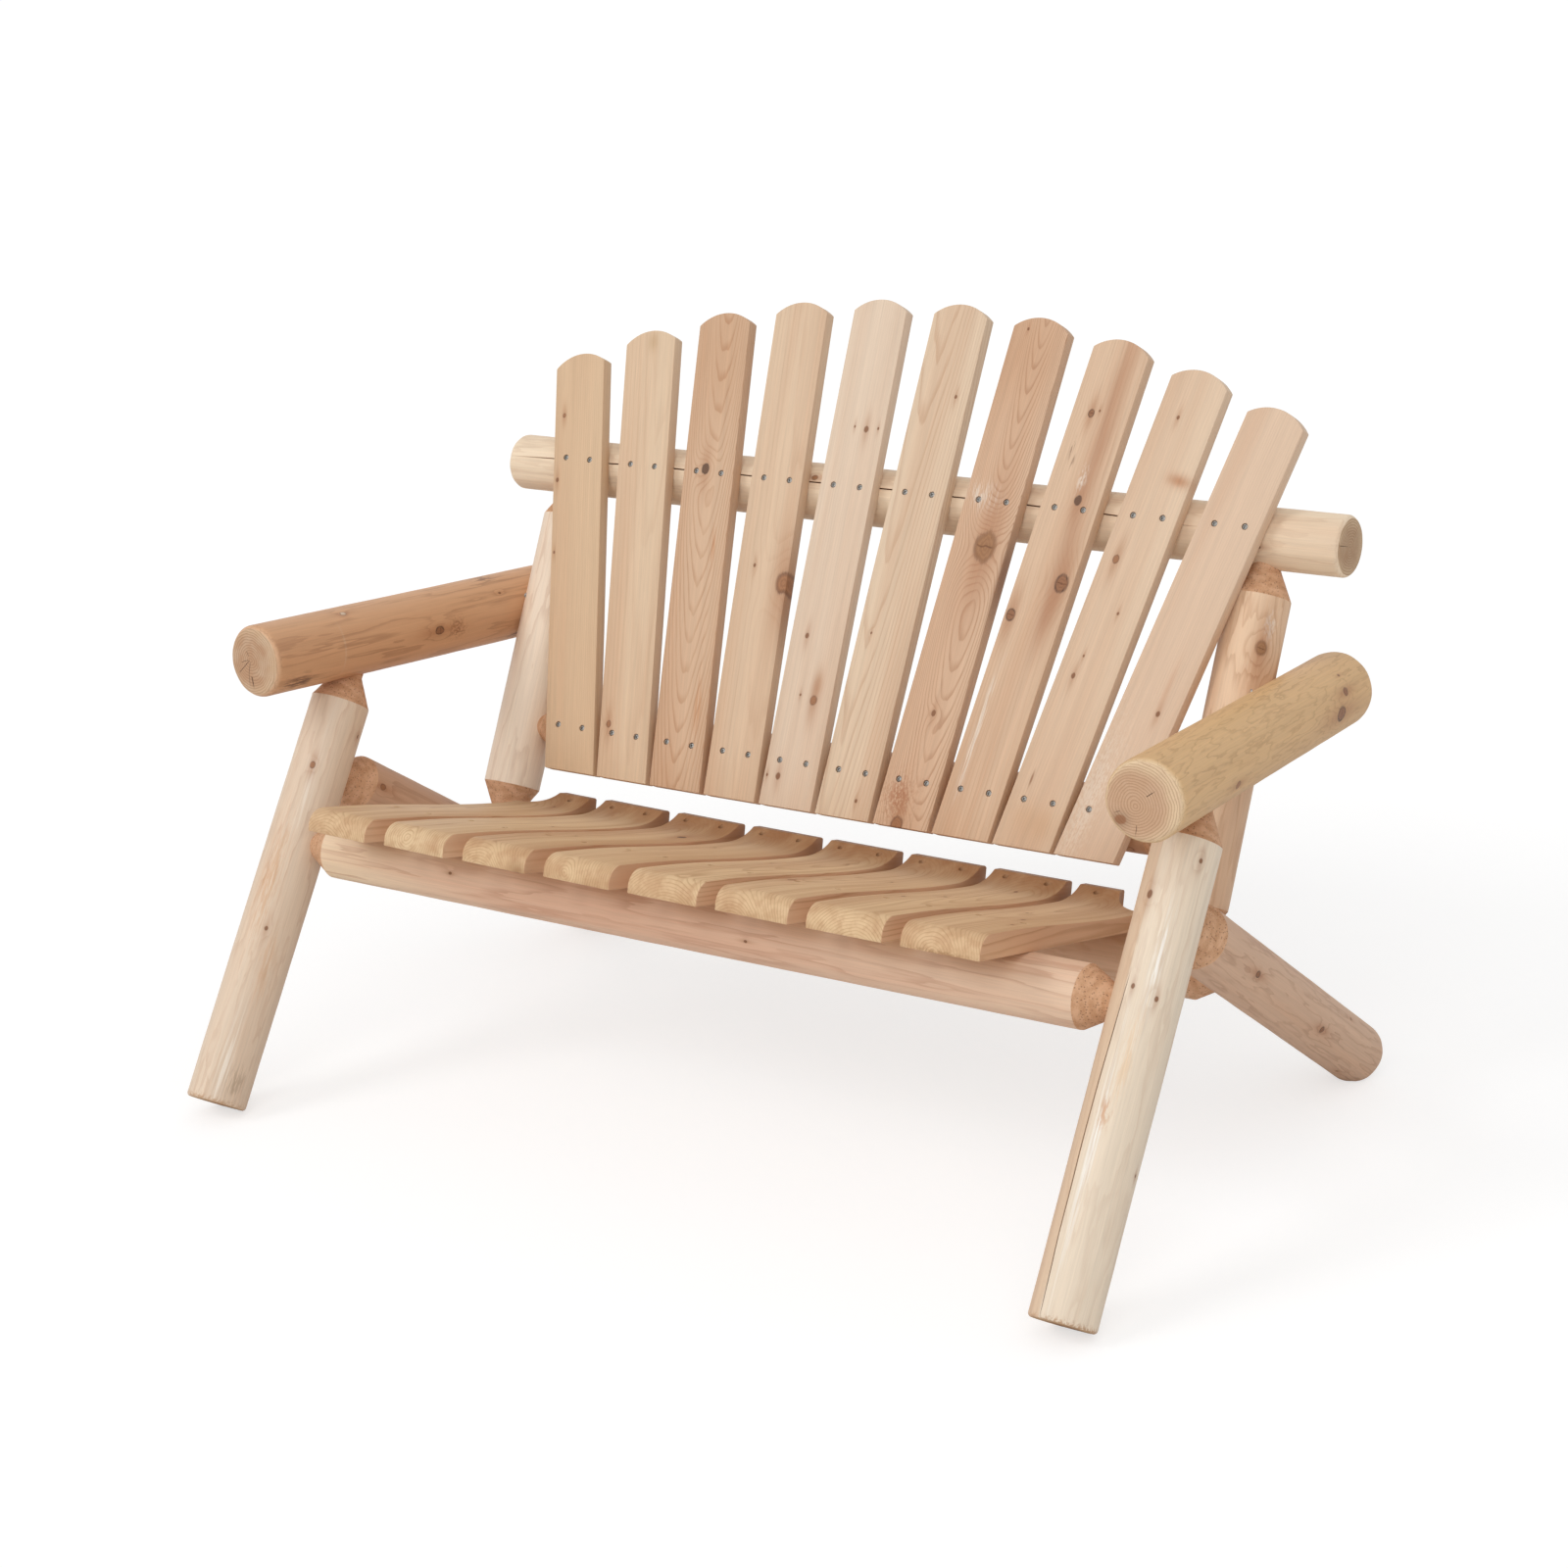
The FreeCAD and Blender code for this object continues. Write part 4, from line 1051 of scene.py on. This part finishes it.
def boardPlace(number):
    middle = number - (seatSlats["count"] - 1) / 2
    across = middle * seatSlats["pitch"] + seatSlats["shift"]
    return seatFrame @ move(across, 0, 0) @ turn("Z", middle * seatSlats["fan"] + seatSlats["skew"])


def notchSide(number):
    # The outer side of the two end boards, which are notched beside the posts.
    return {0: -1, seatSlats["count"] - 1: 1}.get(number, 0)


def boardSpots(number):
    # The screws of one board: across, along and the height of the well's bottom.
    spots = []
    for word in ("frontScrew", "rearScrew"):
        across, along, bottom = seatSlats[word]
        if word == "rearScrew" and notchSide(number):
            spots.append((-notchSide(number) * seatSlats["endScrew"], along, bottom))
        else:
            spots += [(-across, along, bottom), (across, along, bottom)]
    return spots


def boardOutline():
    size = seatSlats
    low, front, rear = size["under"], -size["nose"], size["rear"]
    nose, crest, radius, ease = low + size["noseTop"], low + size["crest"], size["noseRadius"], size["rearEase"]
    scoop = (size["scoopAt"], low + size["scoop"])
    crestStart = (rear - ease - size["crestLength"], crest)
    rampEnd = (crestStart[0] - size["rampLength"], scoop[1])
    levelEnd = (front + radius + size["frontLevel"], nose)
    points = [(front, low), (rear, low), (rear, crest - ease), (rear - ease * 0.3, crest - ease * 0.3)]
    points += [(rear - ease, crest), crestStart] + easeCurve(rampEnd, crestStart, 12, kick=True)[-2::-1]
    points += [rampEnd, scoop] + easeCurve(scoop, levelEnd, 14)
    for step in range(17):
        angle = pi / 2 + step / 16 * pi / 2
        points.append((front + radius + radius * cos(angle), nose - radius + radius * sin(angle)))
    return points


def seatWells(number):
    # Cutters from above; the board lies on its side here, so they are laid down too.
    half, top = seatSlats["width"] / 2, seatSlats["drillTop"]
    cuts = [(spot, seatSlats["wellRadius"], 20) for spot in boardSpots(number)]
    if notchSide(number):
        cuts.append(((notchSide(number) * half, seatSlats["rear"], 20.0), seatSlats["notch"], 72))
    return drill([(move(along, (bottom + top) / 2, across + half) @ turn("X", 90), top - bottom, radius, sides)
                  for (across, along, bottom), radius, sides in cuts])


def makeSeatSlats(tree):
    size = seatSlats
    for number, special in enumerate(boardLooks):
        name = "seat_slat_%d" % (number + 1)
        look = {**seatLook, **special, "seed": 40 + number, "zones": special.get("zones", ()) + seatLook["zones"]}
        wood = woodMaterial(name + "_cedar", look, boardKnots(boardKnotRows[number], 70.0))
        mesh = sawBoard(tree, name, boardOutline(), size["width"], wood, size["edge"], seatWells(number))
        mesh.transform(move(0, 0, -size["width"] / 2))
        giveGrain(mesh, (2, 1, 0), number / size["count"])
        seatPiece(mesh, name, boardPlace(number) @ turn("Z", 90) @ turn("X", 90), 25)
    print("seat slats sawn:", size["count"])


# ---- screws
screw = {
    "headRadius": 3.8,
    "headThickness": 2.6,
    "dome": 0.5,
    "recessWidth": 0.75,
    "recessReach": 2.3,
    "recessDepth": 1.5,
    "shankRadius": 2.1,
    "pointLength": 6.0,
    "sides": 24,
    "zinc": (156, 154, 150),
    "tarnish": (92, 82, 72),
}
screwLengths = {"back": 34.0, "seat": 52.0}
# screws set aslant into a back post: length, side of the post, angle round it, twist and height
slantedScrews = {
    "arm_screws": (80.0, 1, 41.5, 15, 371),
    "joint_pin_screws": (60.0, -1, 27, 27, stance["lowerRail"]),
}


def screwModel(length):
    # One countersunk screw, head up at the origin, with a cross recess and a pointed shank.
    sides, head, thick, shank = screw["sides"], screw["headRadius"], screw["headThickness"], screw["shankRadius"]
    shape = bmesh.new()
    rings = []
    for radius, height in ((head * 0.86, 0.0), (head, -0.35), (head, -0.8), (shank * 1.25, -thick),
                           (shank, -thick - 1.2), (shank, screw["pointLength"] - length), (0.5, -length)):
        turns = [2 * pi * step / sides for step in range(sides)]
        rings.append([shape.verts.new((radius * cos(a) * mm, radius * sin(a) * mm, height * mm)) for a in turns])
    for upper, lower in zip(rings, rings[1:]):
        for step in range(sides):
            after = (step + 1) % sides
            shape.faces.new((upper[step], lower[step], lower[after], upper[after])).smooth = True
    shape.faces.new(rings[-1][::-1])
    half, reach, depth = screw["recessWidth"], screw["recessReach"], screw["recessDepth"]
    corners = [(x * c - y * s, x * s + y * c) for c, s in ((1, 0), (0, 1), (-1, 0), (0, -1))
               for x, y in ((half, -half), (reach, -half), (reach, half))]
    rim = [shape.verts.new((x * mm, y * mm, screw["dome"] * 0.6 * mm)) for x, y in corners]
    floor = [shape.verts.new((x * 0.55 * mm, y * 0.55 * mm, -depth * mm)) for x, y in corners]
    pairs = [(step, (step + 1) % len(rim)) for step in range(len(rim))]
    for step, after in pairs:
        shape.faces.new((rim[step], rim[after], floor[after], floor[step]))
    shape.faces.new(floor)
    # the top of the head joins each corner of the recess to the nearest point of the outer ring
    outer = rings[0]
    nearest = [min(range(sides), key=lambda step: (outer[step].co - vert.co * 2.0).length) for vert in rim]
    for step, after in pairs:
        first, last = nearest[step], nearest[after]
        for number in range(first, first + (last - first) % sides):
            shape.faces.new((rim[step], outer[number % sides], outer[(number + 1) % sides]))
        shape.faces.new((rim[step], outer[last], rim[after]))
    bmesh.ops.recalc_face_normals(shape, faces=shape.faces)
    mesh = toMesh(shape, "screwModel")
    mesh.set_sharp_from_angle(angle=radians(35))
    return mesh


def screwTree():
    # Stands a copy of the screw on every point, along its axis, each turned its own way.
    bench, given = openTree("driveScrews", {"Screw": "Object", "Turn Seed": "Int", "Size": "Float",
                                            "Metal": "Material"})
    model = bench.node("GeometryNodeObjectInfo", None, {"Object": given["Screw"]}, "Geometry")
    axis = bench.node("GeometryNodeInputNamedAttribute", {"data_type": "FLOAT_VECTOR"}, {"Name": "axis"}, "Attribute")
    upright = bench.node("FunctionNodeAlignRotationToVector", {"axis": "Z"}, {"Vector": axis})
    chance = bench.node("FunctionNodeRandomValue", {"data_type": "FLOAT"}, {3: 2 * pi, "Seed": given["Turn Seed"]}, 1)
    spin = bench.node("ShaderNodeCombineXYZ", None, {"Z": chance})
    spin = bench.node("FunctionNodeEulerToRotation", None, (spin,))
    way = bench.node("FunctionNodeRotateRotation", {"rotation_space": "LOCAL"},
                     {"Rotation": upright, "Rotate By": spin})
    placed = bench.node("GeometryNodeInstanceOnPoints", None, {"Points": given["Geometry"], "Instance": model,
                                                               "Rotation": way, "Scale": given["Size"]})
    return closeTree(bench, placed, given["Metal"])


def zincMaterial():
    bench = newMaterial("zincPlate", screw["zinc"])
    spot = bench.millimetres(bench.node("ShaderNodeTexCoord", None, (), "Object"))
    grime = bench.noise(spot, 0.45, 3.0, 0.6)
    brushed = bench.noise(spot, 2.2)
    bench.lay(bench.step(grime, 0.5, 0.75) * 0.6, screw["tarnish"])
    return bench.finish(0.42 + grime * 0.2, bench.bump(brushed, 0.04, 0.5),
                        {"Metallic": 1 - bench.step(grime, 0.55, 0.85) * 0.4})


def screwGroups():
    # Length, head tops and outward directions of the screws, by CAD node.
    groups = {}
    outward = backFrame.to_3x3() @ Vector((0, -1, 0))
    depth = -railRadius - backSlats["thickness"] + 1
    for node, height in zip(("back_lower_screws", "back_upper_screws"), backSlats["screwHeights"]):
        points = []
        for number in range(len(backSlats["lengths"])):
            foot, lean = slatFan(number)
            middle = foot + (height - backSlats["bottom"]) * tan(radians(lean))
            for side in (-0.5, 0.5):
                head = Vector((middle + side * backSlats["screwSpacing"], depth, height)) * mm
                points.append((backFrame @ head, outward))
        groups[node] = (screwLengths["back"], points)
    upward = seatFrame.to_3x3() @ Vector((0, 0, 1))
    front, rear = [], []
    for number in range(seatSlats["count"]):
        for across, along, bottom in boardSpots(number):
            head = Vector((across, along, bottom + screw["headThickness"])) * mm
            row = front if along == seatSlats["frontScrew"][1] else rear
            row.append((boardPlace(number) @ head, upward))
    groups["seat_front_screws"] = (screwLengths["seat"], front)
    groups["seat_rear_screws"] = (screwLengths["seat"], rear)
    for node, (length, way, angle, twist, height) in slantedScrews.items():
        points = []
        for side in (-1, 1):
            across, depth = side * way * postRadius * sin(radians(angle)), -postRadius * cos(radians(angle))
            place = backFrame @ move(side * halfPosts, 0, 0) @ move(across, depth, height)
            place = place @ turn("Z", -side * twist) @ turn("X", -90) @ move(0, 0, 1)
            points.append((place.to_translation(), place.to_3x3() @ Vector((0, 0, -1))))
        groups[node] = (length, points)
    return groups


def makeScrews():
    tree = screwTree()
    metal = zincMaterial()
    for number, (node, (length, points)) in enumerate(screwGroups().items()):
        model = putInScene("oneScrew", screwModel(length))
        mesh = bpy.data.meshes.new(node + "_points")
        mesh.from_pydata([point for point, axis in points], [], [])
        axes = mesh.attributes.new("axis", "FLOAT_VECTOR", "POINT")
        for spot, (point, axis) in zip(axes.data, points):
            spot.vector = axis
        cluster = putInScene(node + "_points", mesh)
        growTree(cluster, tree, {"Screw": model, "Turn Seed": 7 + number, "Size": 1.0, "Metal": metal})
        finishPiece(node + "_zinc", plainMesh(cluster), node)
        bpy.data.objects.remove(model)
        print("screws driven:", node, len(points))


# ---- light and floor
studio = {
    "ambient": 0.56,         # the pale room's light; the camera and glossy rays see it white
    # two wide lamps, one from each side: name, turn, strength and softness
    "lamps": (("leftLamp", (37.6, -38.0, 0.0), 0.74, 24.0), ("rightLamp", (42.0, 30.0, 0.0), 0.74, 50.0)),
    "floorReach": 40.0,
    "floorTone": 0.88,
    "floorSeen": 0.48,       # the camera sees a darker floor that glows, so that it is white with a faint shadow
    "floorGlow": 0.62,
}


def makeStudio():
    scene.world = bpy.data.worlds.new("paleRoom")
    bench = Bench(scene.world)
    rays = [bench.node("ShaderNodeLightPath", None, (), kind) for kind in ("Is Camera Ray", "Is Glossy Ray")]
    level = bench.node("ShaderNodeMapRange", None,
                       {"Value": bench.maths("MAXIMUM", *rays), "To Min": studio["ambient"], "To Max": 1.0})
    back = bench.node("ShaderNodeBackground", None, {"Color": (1.0, 1.0, 1.0, 1.0), "Strength": level})
    bench.node("ShaderNodeOutputWorld", None, {"Surface": back})
    for name, angles, strength, softness in studio["lamps"]:
        data = bpy.data.lights.new(name, "SUN")
        data.energy = strength
        data.angle = radians(softness)
        putInScene(name, data).rotation_euler = [radians(angle) for angle in angles]
    shape = bmesh.new()
    bmesh.ops.create_grid(shape, x_segments=4, y_segments=4, size=studio["floorReach"])
    floor = putInScene("studioFloor", toMesh(shape, "studioFloor"))
    bench = Bench(bpy.data.materials.new("paleFloor"))
    seen = bench.node("ShaderNodeLightPath", None, (), "Is Camera Ray")
    tone = seen * (studio["floorSeen"] - studio["floorTone"]) + studio["floorTone"]
    matt = bench.node("ShaderNodeBsdfDiffuse", None, {"Color": bench.grey(tone)})
    glow = bench.node("ShaderNodeEmission", None, {"Strength": seen * studio["floorGlow"]})
    both = bench.node("ShaderNodeAddShader", None, (matt, glow))
    bench.node("ShaderNodeOutputMaterial", None, {"Surface": both})
    floor.data.materials.append(bench.owner)
    print("studio lit")


setUpCamera()
makeStudio()
makeLogs()
board = boardTree()
makeBackSlats(board)
makeSeatSlats(board)
makeScrews()
